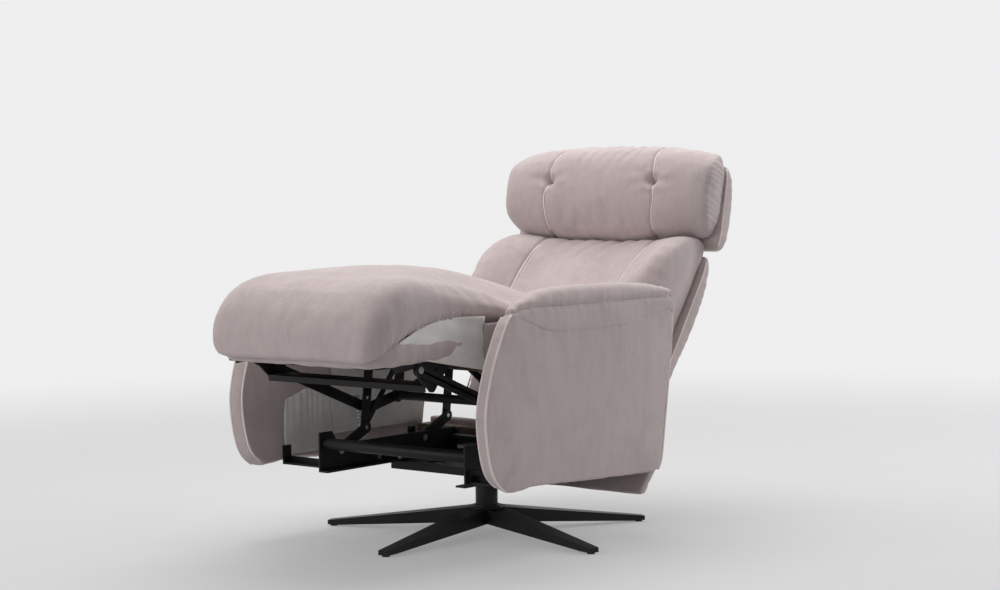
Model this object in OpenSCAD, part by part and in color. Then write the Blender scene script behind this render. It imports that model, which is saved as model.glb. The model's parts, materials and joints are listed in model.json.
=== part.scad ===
// Star base swivel recliner: an upholstered tub chair with its legrest raised and its back part way down.
// The origin is on the floor under the middle of the open chair, +Z is up and the chair faces -Y.
// Left and right are the sitter's: left is +X. Side outlines are drawn in the chair's Y and Z.

/* [Tub] */
// Width over both arms
chair_w = 800; // [760:1:860]
// Thickness of an upholstered arm panel
arm_t = 36; // [30:1:44]
// Foremost point of the arms
arm_front_y = -477; // [-490:1:-465]
// Rearmost point of the arm panels
arm_rear_y = 268; // [262:1:280]
// Underside of the arms at the toe
arm_bottom_z = 161; // [150:1:166]
// Top of the arm panels, at the tip of the pad
arm_panel_z = 585; // [575:1:595]
// Highest point of the arm pads
arm_pad_z = 629; // [620:1:640]
// Width of an arm pad
arm_pad_w = 84; // [70:1:88]
// Radius of the soft edges of the arm panels
arm_edge_r = 7; // [4:0.5:9]
// Thickness of the plywood inside an arm
arm_board_t = 18; // [15:0.5:20]
// Thickness of the white dust cloth
cloth_t = 1.5; // [1:0.1:2]
// Thickness of the rear apron
apron_t = 26; // [22:1:30]
// Lowest edge of the rear apron
apron_low_z = 104; // [100:1:110]

/* [Star base] */
// Distance of the swivel column behind the middle of the open chair
column_y = 30; // [24:1:36]
// Number of legs
leg_count = 5; // [4:1:6]
// Heading of the first leg, counted from the front
leg_turn = 4; // [0:1:20]
// Reach of a leg from the column
leg_reach = 418; // [380:1:430]
// Width of a leg at the hub
leg_root_w = 60; // [50:1:70]
// Width of a leg at the toe
leg_toe_w = 26; // [22:1:30]
// Depth of a leg at the hub
leg_root_h = 40; // [34:1:46]
// Depth of a leg at the toe
leg_toe_h = 11; // [9:0.5:14]
// Height of the hub's underside
hub_z = 25; // [20:1:30]
// Diameter of the hub
hub_d = 92; // [84:1:100]
// Height of a foot glide
glide_h = 4; // [3:0.5:5]
// Diameter of a foot glide
glide_d = 19; // [15:1:21]
// Outer diameter of the column
column_d = 55; // [50:1:60]
// Wall of the column
column_wall = 3; // [2.5:0.5:4]
// Top of the column
column_top_z = 118; // [112:1:122]
// Diameter of the turning spindle
spindle_d = 40; // [34:1:42]

/* [Turntable] */
// Underside of the swivel plate
swivel_plate_z = 164; // [160:1:168]
// Thickness of the swivel plate
swivel_plate_t = 6; // [5:0.5:8]
// Length of the swivel plate, front to back
swivel_plate_l = 190; // [170:1:210]
// Inner face of the side rails
rail_x = 226; // [220:1:230]
// Height of a side rail
rail_h = 62; // [56:1:66]
// Front end of the side rails
rail_front_y = -325; // [-335:1:-315]
// Rear end of the side rails
rail_rear_y = 188; // [185:1:190]
// Width of a rail's lower flange
rail_flange_w = 30; // [26:1:34]
// Diameter of the front cross tube
cross_tube_d = 28; // [24:1:30]

/* [Mechanism] */
// Thickness of the mechanism's plates and links
plate_t = 4.5; // [4:0.1:5]
// Gap between neighbouring plates
layer_gap = 1.2; // [1:0.1:1.4]
// Diameter of the pivot pins
pin_d = 10; // [8:0.5:11]
// Radius of the round eyes of the links
eye_r = 15; // [14:0.5:16]
// Radial clearance of a pin in a turning eye
run_fit = 0.05; // [0.03:0.01:0.08]
// Length of the lift links that carry the seat
lift_l = 110; // [106:1:114]
// Angle of the lift links above the floor, chair open
lift_angle = 25; // [24:0.5:27]
// Diameter of the drive tube that joins the cranks
drive_tube_d = 22; // [20:1:24]
// Turns of an assist spring
spring_turns = 12; // [8:1:14]
// Outer diameter of an assist spring
spring_d = 19; // [16:1:22]
// Wire of an assist spring
spring_wire_d = 2.4; // [2:0.1:3]

/* [Seat and legrest] */
// Slope of the seat, front edge up
seat_slope = 11; // [10:0.5:12]
// Thickness of the seat frame's rails
frame_rail_t = 22; // [18:1:26]
// Height of the seat frame's rails
frame_rail_h = 64; // [56:1:66]
// Half the width between the cloth sides under the seat
skirt_half_w = 272; // [262:1:278]
// Gap between the seat cushion and an arm pad
seat_side_gap = 27; // [20:1:34]
// Half the width of the legrest cushion
legrest_half_w = 268; // [255:1:275]
// Half the width of the legrest board
legrest_board_half_w = 243; // [238:1:246]
// Thickness of the legrest board
legrest_board_t = 15; // [12:1:18]
// Slope of the legrest, front edge down
legrest_slope = 6; // [4:0.5:8]
// Foremost point of the legrest cushion
legrest_front_y = -655; // [-665:1:-645]
// Highest point of the legrest cushion
legrest_top_z = 668; // [655:1:680]

/* [Back and headrest] */
// Lean of the back from upright, chair open
back_lean = 35.6; // [34:0.1:37]
// Height of the back cushion along the back
back_h = 408; // [395:1:410]
// Half the width of the back cushion
back_half_w = 288; // [278:1:296]
// Depth of the back cushion's crown
back_crown = 128; // [116:1:132]
// Depth of the rear shell
back_shell_d = 64; // [58:1:70]
// Lean of the headrest from upright, chair open
headrest_lean = 12; // [10:0.5:14]
// Height of the headrest
headrest_h = 244; // [230:1:256]
// Half the width of the headrest
headrest_half_w = 312; // [300:1:322]
// Depth of the headrest cushion
headrest_crown = 86; // [76:1:92]
// Depth of the headrest's rear shell
headrest_shell_d = 54; // [46:1:58]
// Sideways place of the sewn seams in the back and the headrest
seam_x = 172; // [160:1:184]
// Depth to which the seams draw the cushions in
seam_d = 13; // [8:1:16]

/* [Hidden] */
$fn = 48;

// One overrun for all cuts
cut = 1;
seat_half_w = chair_w / 2 - arm_pad_w - seat_side_gap;
// Clearance between soft pieces and their neighbours
soft_gap = 0.4;

// Pivots in the side view, as Y and Z
leg_hinge = [-395, 478];
leg_arm = [-105, -23];
crank_axis = [-25, 330];
back_hinge = [235, 400];
front_lift_foot = [-250, 215];
rear_lift_foot = [60, 215];
crossbar_at = [-455, 416];
lift_reach = lift_l * [cos(lift_angle), sin(lift_angle)];
front_lift_head = front_lift_foot + lift_reach;
rear_lift_head = rear_lift_foot + lift_reach;
crank_end = crank_axis + leg_arm;
link_end = leg_hinge + leg_arm;
pin_r = pin_d / 2;
link_step = 1;
link_r = eye_r - link_step;
boss_r = eye_r + 2 * link_step;
pin_head_r = 8;
pin_head_t = 2.4;

// Turns a side view point about the origin
function turned(p, a) = [p[0] * cos(a) - p[1] * sin(a), p[0] * sin(a) + p[1] * cos(a)];

// Inner face of one of the mechanism's five layers: rail, lift link, seat plate, crank, drive link
function layer_x(n) = rail_x + n * (plate_t + layer_gap);

// One point of a smooth line that passes through b and c
function through(a, b, c, d, t) =
    0.5 * (2 * b + (c - a) * t + (2 * a - 5 * b + 4 * c - d) * t * t + (3 * b - a - 3 * c + d) * t * t * t);

// Closed smooth outline through points, with n steps between neighbours
function smooth(points, n) = let (m = len(points)) [
    for (i = [0:m - 1], k = [0:n - 1])
        through(points[(i + m - 1) % m], points[i], points[(i + 1) % m], points[(i + 2) % m], k / n)
];

// Grows or shrinks an outline about a centre, by a length measured at its half sizes
function inset(points, centre, half, d) = [
    for (p = points) [
        centre[0] + (p[0] - centre[0]) * (1 - d / half[0]),
        centre[1] + (p[1] - centre[1]) * (1 - d / half[1])
    ]
];

// Draws a side view and extrudes it along X
module side_view(x, w) {
    translate([x, 0, 0]) rotate([90, 0, 90]) linear_extrude(w) children();
}

// Upright disc, its axis along X
module disc(x, w, at, r) {
    side_view(x, w) translate(at) circle(r);
}

// Disc and cut-through hole in one of the mechanism's layers
module eye(n, at, r) {
    disc(layer_x(n), plate_t, at, r);
}
module hole(n, at, r) {
    disc(layer_x(n) - cut, plate_t + 2 * cut, at, r);
}

// Places the same solids on both sides of the chair
module both_sides() {
    children();
    mirror([1, 0, 0]) children();
}

// Flat bar across X with round eyes about a and b, a little narrower than the eyes
waist_share = 0.93;
module bar(x, w, a, b, r) {
    along = (b - a) / norm(b - a);
    side = waist_share * r * [-along[1], along[0]];
    disc(x, w, a, r);
    disc(x, w, b, r);
    side_view(x, w) polygon([a + side, b + side, b - side, a - side]);
}
module eye_bar(n, a, b, r) {
    bar(layer_x(n), plate_t, a, b, r);
}

// Pivot pin through the layers from first to last, its head inside or outside them
module pivot_pin(at, first, last, head_inside) {
    start = layer_x(first);
    end = layer_x(last) + plate_t;
    disc(start, end - start, at, pin_r);
    disc(head_inside ? start - pin_head_t : end, pin_head_t, at, pin_head_r);
}

// Solid through rings of points that all have the same count. The end faces are fans from the first
// point, or strips between the two halves of a ring where the ring runs out along a wall and back.
module loft(rings, strip_ends = false) {
    m = len(rings[0]);
    last = len(rings) - 1;
    points = [for (ring = rings) for (p = ring) p];
    walls = [
        for (i = [0:last - 1], j = [0:m - 1]) let (k = (j + 1) % m)
            each [[i * m + j, i * m + k, (i + 1) * m + k], [i * m + j, (i + 1) * m + k, (i + 1) * m + j]]
    ];
    end = strip_ends
        ? [for (j = [0:m / 2 - 2]) each [[j, j + 1, m - 2 - j], [j, m - 2 - j, m - 1 - j]]]
        : [for (j = [1:m - 2]) [0, j, j + 1]];
    first_cap = [for (t = end) [t[0], t[2], t[1]]];
    last_cap = [for (t = end) [last * m + t[0], last * m + t[1], last * m + t[2]]];
    polyhedron(points, concat(walls, first_cap, last_cap), convexity = 6);
}

edge_step_share = 0.3;

// Places across half a cushion where its cross-section has points, closer at the seam and the edge
plain_share = [0, 0.2, 0.4, 0.58, 0.74, 0.86, 0.94, 0.985, 1];
function seamed_share(s) = [0, 0.35 * s, 0.7 * s, 0.9 * s, s, s + 0.1 * (1 - s), 0.4 * s + 0.6, 0.22 * s + 0.78, 0.08 * s + 0.92, 0.985, 1];
crown_power = 3.4;
foot_share = 0.94;
round_power = 2;

// One cross-section of a crowned cushion: half width w, underside at y, crown d towards -Y, at height z.
// The seam at share s of the half width draws the crown in by g.
function crown_ring(z, w, y, d, t, across, s, g, seam_w) = concat(
    [for (i = [len(across) - 1:-1:1]) crown_point(-across[i], z, w, y, d, t, s, g, seam_w)],
    [for (i = [0:len(across) - 1]) crown_point(across[i], z, w, y, d, t, s, g, seam_w)],
    [for (e = [w, 0, -w]) [foot_share * e, y, z]]
);
function crown_point(u, z, w, y, d, t, s, g, seam_w) = let (
    crown = pow(1 - pow(min(1, abs(u)), crown_power), 1 / round_power),
    off = (abs(u) - s) * w / seam_w,
    draw = g * exp(-off * off)
) [u * w, y - t - (d - t) * crown + min(draw, d - t) * (g > 0 ? 1 : 0), z];

// Share of the full depth near the rounded ends of a cushion
function end_share(z, z0, z1, r0, r1) =
    z < z0 + r0 ? sqrt(max(0, 1 - pow((z0 + r0 - z) / r0, 2)))
    : z > z1 - r1 ? sqrt(max(0, 1 - pow((z - z1 + r1) / r1, 2)))
    : 1;

// Stations from z0 to z1, closer together at both ends
function station(i, n, z0, z1) = z0 + (z1 - z0) * (1 - cos(180 * i / n)) / 2;
least_end_share = 0.12;

// Star base
toe_flat = 34;
root_step = 1.5;
hub_root_share = 0.4;
module star_leg() {
    root = -hub_root_share * hub_d;
    intersection() {
        translate([0, 0, glide_h]) linear_extrude(hub_z + leg_root_h) polygon([
            [-leg_root_w / 2, root], [leg_root_w / 2, root],
            [leg_toe_w / 2, -leg_reach], [-leg_toe_w / 2, -leg_reach]
        ]);
        side_view(-leg_root_w, 2 * leg_root_w) polygon([
            [root - cut, hub_z + root_step], [toe_flat - leg_reach, glide_h], [cut / 2 - leg_reach, glide_h],
            [cut / 2 - leg_reach, glide_h + leg_toe_h], [root - cut, hub_z + leg_root_h - root_step]
        ]);
    }
}

hub_lip_h = 4;
hub_lip_r = 5;
module star_base() {
    color("#17171a") translate([0, column_y, 0]) difference() {
        union() {
            for (i = [0:leg_count - 1]) rotate([0, 0, leg_turn + i * 360 / leg_count]) star_leg();
            translate([0, 0, hub_z]) cylinder(d = hub_d, h = leg_root_h);
            translate([0, 0, hub_z]) cylinder(r = column_d / 2 + hub_lip_r, h = leg_root_h + hub_lip_h);
        }
        translate([0, 0, hub_z - cut]) cylinder(d = column_d, h = leg_root_h + hub_lip_h + 2 * cut);
    }
}

module foot_glides() {
    color("#2b2b2d") translate([0, column_y, 0])
        for (i = [0:leg_count - 1]) rotate([0, 0, leg_turn + i * 360 / leg_count])
            translate([0, leg_toe_w / 2 - leg_reach, 0]) cylinder(d = glide_d, h = glide_h);
}

// Column with its bush
module column_tube() {
    color("#1b1b1e") translate([0, column_y, hub_z]) difference() {
        cylinder(d = column_d, h = column_top_z - hub_z);
        translate([0, 0, -cut]) cylinder(d = column_d - 2 * column_wall, h = column_top_z - hub_z + 2 * cut);
    }
}

bush_l = 34;
bush_lip_h = 4;
module column_bush() {
    color("#3a3a3c") translate([0, column_y, 0]) difference() {
        union() {
            translate([0, 0, column_top_z - bush_l]) cylinder(d = column_d - 2 * column_wall, h = bush_l);
            translate([0, 0, column_top_z]) cylinder(d = column_d, h = bush_lip_h);
        }
        translate([0, 0, column_top_z - bush_l - cut])
            cylinder(r = spindle_d / 2 + run_fit, h = bush_l + bush_lip_h + 2 * cut);
    }
}

// Turning head of the column: the spindle and the flange under the swivel plate
thrust_gap = 0.3;
spindle_end_z = 62;
flange_r = 62;
flange_t = 7;
neck_r = 31;
module swivel_hub() {
    bearing_z = column_top_z + bush_lip_h + thrust_gap;
    color("#202023") translate([0, column_y, 0]) rotate_extrude() polygon([
        [0, spindle_end_z], [spindle_d / 2, spindle_end_z], [spindle_d / 2, bearing_z], [neck_r, bearing_z],
        [neck_r, swivel_plate_z - 2 * flange_t], [flange_r, swivel_plate_z - flange_t],
        [flange_r, swivel_plate_z], [0, swivel_plate_z]
    ]);
}

// Swivel plate: a pressed plate with turned-down ends and lightening holes
rail_z = swivel_plate_z + swivel_plate_t;
plate_end_h = 14;
plate_hole_r = 24;
plate_hole_x = 118;
bolt_r = 4;
bolt_head_r = 7.5;
bolt_head_h = 5;
bolt_x = rail_x + plate_t - rail_flange_w / 2;
bolt_y = swivel_plate_l / 2 - 2 * bolt_head_r;
module swivel_plate() {
    half_w = rail_x + plate_t;
    color("#26262a") translate([0, column_y, swivel_plate_z]) difference() {
        union() {
            translate([-half_w, -swivel_plate_l / 2, 0]) cube([2 * half_w, swivel_plate_l, swivel_plate_t]);
            for (side = [0, 1]) mirror([0, side, 0])
                translate([-half_w, swivel_plate_l / 2 - swivel_plate_t, -plate_end_h])
                    cube([2 * half_w, swivel_plate_t, plate_end_h + cut]);
        }
        for (sx = [-1, 1], sy = [-1, 1]) {
            translate([sx * plate_hole_x, sy * swivel_plate_l / 4, -cut])
                cylinder(r = plate_hole_r, h = swivel_plate_t + 2 * cut);
            translate([sx * bolt_x, sy * bolt_y, -cut]) cylinder(r = bolt_r, h = swivel_plate_t + 2 * cut);
            translate([sx * flange_r / 2, sy * flange_r / 2, -cut])
                cylinder(r = bolt_r, h = swivel_plate_t + 2 * cut);
        }
    }
}

module swivel_bolts() {
    stem = swivel_plate_t + plate_t;
    color("#8a8a8e") translate([0, column_y, swivel_plate_z])
        for (sx = [-1, 1], sy = [-1, 1]) translate([sx * bolt_x, sy * bolt_y, 0]) {
            cylinder(r = bolt_r, h = stem + bolt_head_h);
            translate([0, 0, -bolt_head_h]) cylinder(r = bolt_head_r, h = bolt_head_h, $fn = 6);
            translate([0, 0, stem]) cylinder(r = bolt_head_r, h = bolt_head_h, $fn = 6);
        }
}

// Side rails of the turntable, each a web with a lower flange and a horn for the cross tube
horn_h = 34;
horn_l = 44;
horn_lip = 6;
rear_tube_inset = 24;
front_tube_at = [rail_front_y + horn_l / 2, rail_z + rail_h + horn_h - horn_l / 2 - horn_lip];
rear_tube_at = [rail_rear_y - rear_tube_inset, rail_z + rail_h / 2];
spring_foot = [-115, 186];
spring_pin_r = 4;
module side_rail() {
    difference() {
        union() {
            side_view(rail_x, plate_t) polygon([
                [rail_front_y, rail_z], [rail_rear_y, rail_z], [rail_rear_y, rail_z + rail_h - horn_l / 4],
                [rail_rear_y - horn_l / 4, rail_z + rail_h], [rail_front_y + 1.5 * horn_l, rail_z + rail_h],
                [rail_front_y + horn_l, rail_z + rail_h + horn_h], [rail_front_y, rail_z + rail_h + horn_h]
            ]);
            translate([rail_x + plate_t - rail_flange_w, rail_front_y, rail_z])
                cube([rail_flange_w, rail_rear_y - rail_front_y, plate_t]);
        }
        for (p = [front_lift_foot, rear_lift_foot]) hole(0, p, pin_r);
        hole(0, spring_foot, spring_pin_r);
        for (sy = [-1, 1]) translate([bolt_x, column_y + sy * bolt_y, rail_z - cut])
            cylinder(r = bolt_r, h = plate_t + 2 * cut);
    }
}
module side_rail_left() { color("#1d1d20") side_rail(); }
module side_rail_right() { color("#1d1d20") mirror([1, 0, 0]) side_rail(); }

tube_wall = 2;
module cross_tube(at, d) {
    side_view(-rail_x, 2 * rail_x) translate(at) difference() {
        circle(d = d);
        circle(d = d - 2 * tube_wall);
    }
}
module front_cross_tube() { color("#232327") cross_tube(front_tube_at, cross_tube_d); }
module rear_cross_tube() { color("#232327") cross_tube(rear_tube_at, cross_tube_d); }

// Pins fixed in the rails: the feet of the lift links and the spring anchors
spring_x = layer_x(4) + plate_t + spring_d;
spring_pin_end = 7;
module rail_pins() {
    color("#9a9a9e") both_sides() {
        pivot_pin(front_lift_foot, 0, 1, true);
        pivot_pin(rear_lift_foot, 0, 1, true);
        disc(rail_x, spring_x + spring_pin_end - rail_x, spring_foot, spring_pin_r);
        disc(rail_x - pin_head_t, pin_head_t, spring_foot, spring_pin_r + pin_head_t);
    }
}

// Arms: outline of a panel as shares of its length and height, from the toe round the front to the rear
arm_l = arm_rear_y - arm_front_y;
arm_h = arm_panel_z - arm_bottom_z;
arm_share = [
    [0.103, 0.045], [0.048, 0.111], [0.018, 0.219], [0, 0.403], [0.007, 0.535], [0.040, 0.715], [0.089, 0.880],
    [0.125, 0.962], [0.160, 0.985], [0.215, 0.928], [0.300, 0.875], [0.420, 0.850], [0.560, 0.845], [0.700, 0.852],
    [0.830, 0.874], [0.930, 0.893], [0.978, 0.888], [0.994, 0.830], [0.986, 0.710], [0.972, 0.530], [0.953, 0.330],
    [0.935, 0.140], [0.920, 0.040], [0.885, 0.006], [0.780, 0.008], [0.600, 0.020], [0.408, 0.036], [0.240, 0.050],
    [0.160, 0.040]
];
arm_points = smooth([for (s = arm_share) [arm_front_y + s[0] * arm_l, arm_bottom_z + s[1] * arm_h]], 2);
arm_centre = [arm_front_y + arm_l / 2, arm_bottom_z + arm_h * 0.45];
arm_half = [arm_l / 2, arm_h / 2];
arm_x = chair_w / 2 - arm_t;
arm_board_inset = 34;
board_recess = 2;
module arm_cover() {
    floor_x = arm_x + board_recess + arm_board_t;
    steps = [
        [floor_x, arm_board_inset], [arm_x, arm_board_inset], [arm_x, arm_edge_r],
        [arm_x + arm_edge_r * edge_step_share, arm_edge_r * edge_step_share], [arm_x + arm_edge_r, 0],
        [chair_w / 2 - arm_edge_r, 0], [chair_w / 2 - arm_edge_r * edge_step_share, arm_edge_r * edge_step_share],
        [chair_w / 2, arm_edge_r]
    ];
    loft([for (s = steps) [for (p = inset(arm_points, arm_centre, arm_half, s[1])) [s[0], p[0], p[1]]]]);
}
module arm_cover_left() { color("#b3a5a5") arm_cover(); }
module arm_cover_right() { color("#b3a5a5") mirror([1, 0, 0]) arm_cover(); }

module arm_board() {
    side_view(arm_x + board_recess, arm_board_t) polygon(inset(arm_points, arm_centre, arm_half, arm_board_inset));
}
module arm_board_left() { color("#c9a878") arm_board(); }
module arm_board_right() { color("#c9a878") mirror([1, 0, 0]) arm_board(); }

// White dust cloth over the inner face, behind the band of fabric at the front
lining_front_y = -138;
lining_low_z = 238;
lining_high_z = 470;
lining_rear_y = 205;
module arm_lining() {
    side_view(arm_x - cloth_t, cloth_t) polygon([
        [lining_front_y, lining_low_z], [lining_rear_y, lining_low_z],
        [lining_rear_y, lining_high_z], [lining_front_y, lining_high_z]
    ]);
}
module arm_lining_left() { color("#dedcd8") arm_lining(); }
module arm_lining_right() { color("#dedcd8") mirror([1, 0, 0]) arm_lining(); }

// Arm pad: a crescent bolster whose underside follows the top edge of the panel
pad_top_share = [[0, 0.03], [0.09, 0.56], [0.18, 0.92], [0.34, 1], [0.56, 0.96], [0.76, 0.86], [0.93, 0.70], [1, 0.62]];
pad_ring_share = [
    [0.5, 1], [0.74, 0.97], [0.9, 0.84], [0.98, 0.56], [1, 0.2], [0.97, 0], [0.55, 0], [0.12, 0],
    [0, 0.14], [0.02, 0.5], [0.1, 0.8], [0.26, 0.95]
];
pad_front_y = -352;
pad_rear_y = 266;
pad_steps = 14;
arm_tip_row = 8;
arm_heel_row = 16;
arm_top_edge = [for (i = [2 * arm_tip_row:2 * arm_heel_row]) arm_points[i]];
module arm_pad() {
    rise = arm_pad_z - arm_panel_z;
    x0 = chair_w / 2 + cloth_t - arm_pad_w;
    loft([
        for (i = [0:pad_steps]) let (
            y = station(i, pad_steps, pad_front_y, pad_rear_y),
            u = (y - pad_front_y) / (pad_rear_y - pad_front_y),
            foot = lookup(y, arm_top_edge) + soft_gap,
            h = arm_panel_z + rise * lookup(u, pad_top_share) - foot
        ) [
            for (k = pad_ring_share) [x0 + arm_pad_w * k[0], y, foot + h * k[1]]
        ]
    ]);
}
module arm_pad_left() { color("#b8abab") arm_pad(); }
module arm_pad_right() { color("#b8abab") mirror([1, 0, 0]) arm_pad(); }

// Brackets that carry each arm on its side rail
bracket_w = 26;
bracket_bar_h = 18;
bracket_rise = 4;
bracket_z = rail_z + plate_t + bracket_rise;
bracket_foot_h = 30;
bracket_front_y = -300;
bracket_rear_y = rail_rear_y - bracket_w;
bracket_pad_h = 46;
module arm_bracket() {
    for (y = [bracket_front_y, bracket_rear_y]) translate([rail_x + plate_t, y - bracket_w / 2, bracket_z]) {
        reach = arm_x - rail_x - plate_t;
        cube([plate_t, bracket_w, bracket_foot_h]);
        cube([reach, bracket_w, bracket_bar_h / 4]);
        translate([0, bracket_w - plate_t, 0]) cube([reach, plate_t, bracket_bar_h]);
        translate([reach - plate_t, 0, 0]) cube([plate_t, bracket_w, bracket_pad_h]);
    }
}
module arm_bracket_left() { color("#232327") arm_bracket(); }
module arm_bracket_right() { color("#232327") mirror([1, 0, 0]) arm_bracket(); }

// Rear of the tub: a plywood cross board with a shelf, and the upholstered apron behind it
rear_board_t = 15;
rear_board_y = 191;
rear_board_low_z = 186;
apron_rear_y = 262;
apron_top_z = 244;
module rear_board() {
    shelf_l = apron_rear_y - apron_t - rear_board_y;
    h = apron_top_z - rear_board_t - rear_board_low_z;
    color("#c9a878") translate([-arm_x, rear_board_y, rear_board_low_z]) {
        cube([2 * arm_x, rear_board_t, h]);
        translate([0, 0, h - rear_board_t]) cube([2 * arm_x, shelf_l, rear_board_t]);
    }
}

// The apron's outline, as shares of its height from the lowest edge and of its depth before the rear face
apron_front_share = [[0, 0.9], [0.25, 0.5], [0.5, 0.14], [0.7, 0], [1, 0]];
module rear_apron() {
    h = apron_top_z - apron_low_z;
    outer = [for (s = apron_front_share) [apron_rear_y - s[1] * h / 2, apron_low_z + s[0] * h]];
    inner = [for (i = [len(outer) - 1:-1:0]) outer[i] - [apron_t, i > 0 ? 0 : -apron_t / 4]];
    color("#a99b9b") side_view(-arm_x, 2 * arm_x) polygon(concat(outer, inner));
}

// Assist springs: one helical wire each, hooked between a rail and the seat plate
spring_head = [-141, 334];
spring_coil_l = 112;
spring_foot_l = 14;
rings_per_turn = 8;
wire_sides = 6;
spring_run = spring_head - spring_foot;
spring_len = norm(spring_run) - 2 * spring_pin_r - spring_wire_d;
function coil_radius(t) = (spring_d - spring_wire_d) / 2 * min(1, 2 * t, 2 * (spring_turns - t));
spring_path = concat(
    [[0, 0, 0]],
    [
        for (i = [0:spring_turns * rings_per_turn]) let (t = i / rings_per_turn)
            [
                coil_radius(t) * cos(360 * t), coil_radius(t) * sin(360 * t),
                spring_foot_l + spring_coil_l * t / spring_turns
            ]
    ],
    [[0, 0, spring_len]]
);
function unit(v) = v / norm(v);
function wire_ring(path, i) = let (
    last = len(path) - 1,
    ahead = unit(path[min(i + 1, last)] - path[max(i - 1, 0)]),
    side = unit(cross(ahead, [0.3, 0.2, 1] + (i == 0 || i == last ? [1, 0, 0] : [0, 0, 0]))),
    up = cross(side, ahead)
) [
    for (k = [0:wire_sides - 1])
        path[i] + spring_wire_d / 2 * (cos(360 * k / wire_sides) * side + sin(360 * k / wire_sides) * up)
];
coil_gap = min([
    for (i = [1:len(spring_path) - 2], j = [i + rings_per_turn / 2:len(spring_path) - 2])
        norm(spring_path[i] - spring_path[j])
]) - spring_wire_d;
module assist_spring() {
    lean = atan2(-spring_run[0], spring_run[1]);
    start = spring_foot + unit(spring_run) * (spring_pin_r + spring_wire_d / 2);
    translate([spring_x, start[0], start[1]]) rotate([lean, 0, 0])
        loft([for (i = [0:len(spring_path) - 1]) wire_ring(spring_path, i)]);
}
module assist_spring_left() {
    echo(least_gap_between_turns_mm = coil_gap);
    color("#b9b9bd") assist_spring();
}
module assist_spring_right() { color("#b9b9bd") mirror([1, 0, 0]) assist_spring(); }

// Lift links: parallel links that carry the seat on the rails
module lift_link(foot, head) {
    difference() {
        eye_bar(1, foot, head, eye_r);
        hole(1, foot, pin_r + run_fit);
        hole(1, head, pin_r + run_fit);
    }
}
module front_lift_link_left() { color("#1d1d20") lift_link(front_lift_foot, front_lift_head); }
module front_lift_link_right() { color("#1d1d20") mirror([1, 0, 0]) lift_link(front_lift_foot, front_lift_head); }
module rear_lift_link_left() { color("#1d1d20") lift_link(rear_lift_foot, rear_lift_head); }
module rear_lift_link_right() { color("#1d1d20") mirror([1, 0, 0]) lift_link(rear_lift_foot, rear_lift_head); }

// Seat plates: pressed side plates that hold every pivot of the seat
module seat_plate() {
    spine_front = leg_hinge;
    spine_rear = back_hinge;
    hang = (spine_rear - spine_front) / norm(spine_rear - spine_front);
    front_root = spine_front + hang * ((front_lift_head - spine_front) * hang);
    crank_root = spine_front + hang * ((crank_axis - spine_front) * hang);
    rear_root = spine_front + hang * ((rear_lift_head - spine_front) * hang);
    difference() {
        union() {
            eye_bar(2, spine_front, spine_rear, eye_r);
            eye_bar(2, front_root, front_lift_head, eye_r);
            eye_bar(2, crank_root, crank_axis, boss_r);
            eye_bar(2, rear_root, rear_lift_head, eye_r);
            eye_bar(2, front_lift_head, crank_root, eye_r / 2);
            eye_bar(2, crank_axis, rear_root, eye_r / 2);
        }
        for (p = [front_lift_head, rear_lift_head, leg_hinge, back_hinge]) hole(2, p, pin_r);
        hole(2, spring_head, spring_pin_r);
        hole(2, crank_axis, drive_tube_d / 2 + run_fit);
    }
}
module seat_plate_left() { color("#202024") seat_plate(); }
module seat_plate_right() { color("#202024") mirror([1, 0, 0]) seat_plate(); }

module seat_pins() {
    color("#9a9a9e") both_sides() {
        pivot_pin(front_lift_head, 1, 2, false);
        pivot_pin(rear_lift_head, 1, 2, false);
        pivot_pin(leg_hinge, 2, 3, false);
        pivot_pin(back_hinge, 2, 3, false);
        disc(layer_x(2), spring_x + spring_pin_end - layer_x(2), spring_head, spring_pin_r);
    }
}

// Seat frame, drawn level and sloped about its front upper edge
frame_front = [-391, 555];
frame_rear_gap = 31;
seat_l = (back_hinge[0] - frame_front[0]) / cos(seat_slope) - frame_rear_gap;
frame_set_back = 14;
module on_seat() {
    translate([0, frame_front[0], frame_front[1]]) rotate([-seat_slope, 0, 0]) children();
}
frame_half_w = layer_x(2);
module seat_cross_rails() {
    color("#c9a878") on_seat() for (y = [frame_set_back, seat_l - frame_rail_t])
        translate([-frame_half_w, y, -frame_rail_h]) cube([2 * frame_half_w, frame_rail_t, frame_rail_h]);
}
module seat_side_rails() {
    start = frame_set_back + frame_rail_t;
    color("#c9a878") on_seat() both_sides() translate([frame_half_w - frame_rail_t, start, -frame_rail_h])
        cube([frame_rail_t, seat_l - frame_rail_t - start, frame_rail_h]);
}

// Zigzag wires that stretch between the frame's front and rear rails
wire_d = 3.6;
zig_w = 38;
zig_count = 11;
wire_count = 4;
module zigzag(run) {
    pitch = run / zig_count;
    bend_r = pitch / 2;
    for (i = [0:zig_count - 1]) {
        side = i % 2 == 0 ? 1 : -1;
        translate([side * (zig_w / 2 - bend_r), (i + 0.5) * pitch]) difference() {
            circle(bend_r + wire_d / 2);
            circle(bend_r - wire_d / 2);
            translate([side > 0 ? -2 * bend_r : 0, -2 * bend_r]) square([2 * bend_r, 4 * bend_r]);
        }
    }
    for (i = [0:zig_count]) {
        half = zig_w / 2 - bend_r;
        translate([i == 0 ? 0 : -half, i * pitch - wire_d / 2]) square([i == 0 || i == zig_count ? half : 2 * half, wire_d]);
    }
}
module seat_wires() {
    run = seat_l - frame_set_back - 2 * frame_rail_t - wire_d;
    color("#77777b") on_seat() for (i = [0:wire_count - 1]) {
        x = (i + 0.5 - wire_count / 2) * (2 * frame_half_w - 2 * frame_rail_t) / wire_count;
        translate([x, frame_set_back + frame_rail_t + wire_d / 2, -2 * wire_d]) linear_extrude(wire_d) zigzag(run);
    }
}

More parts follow.
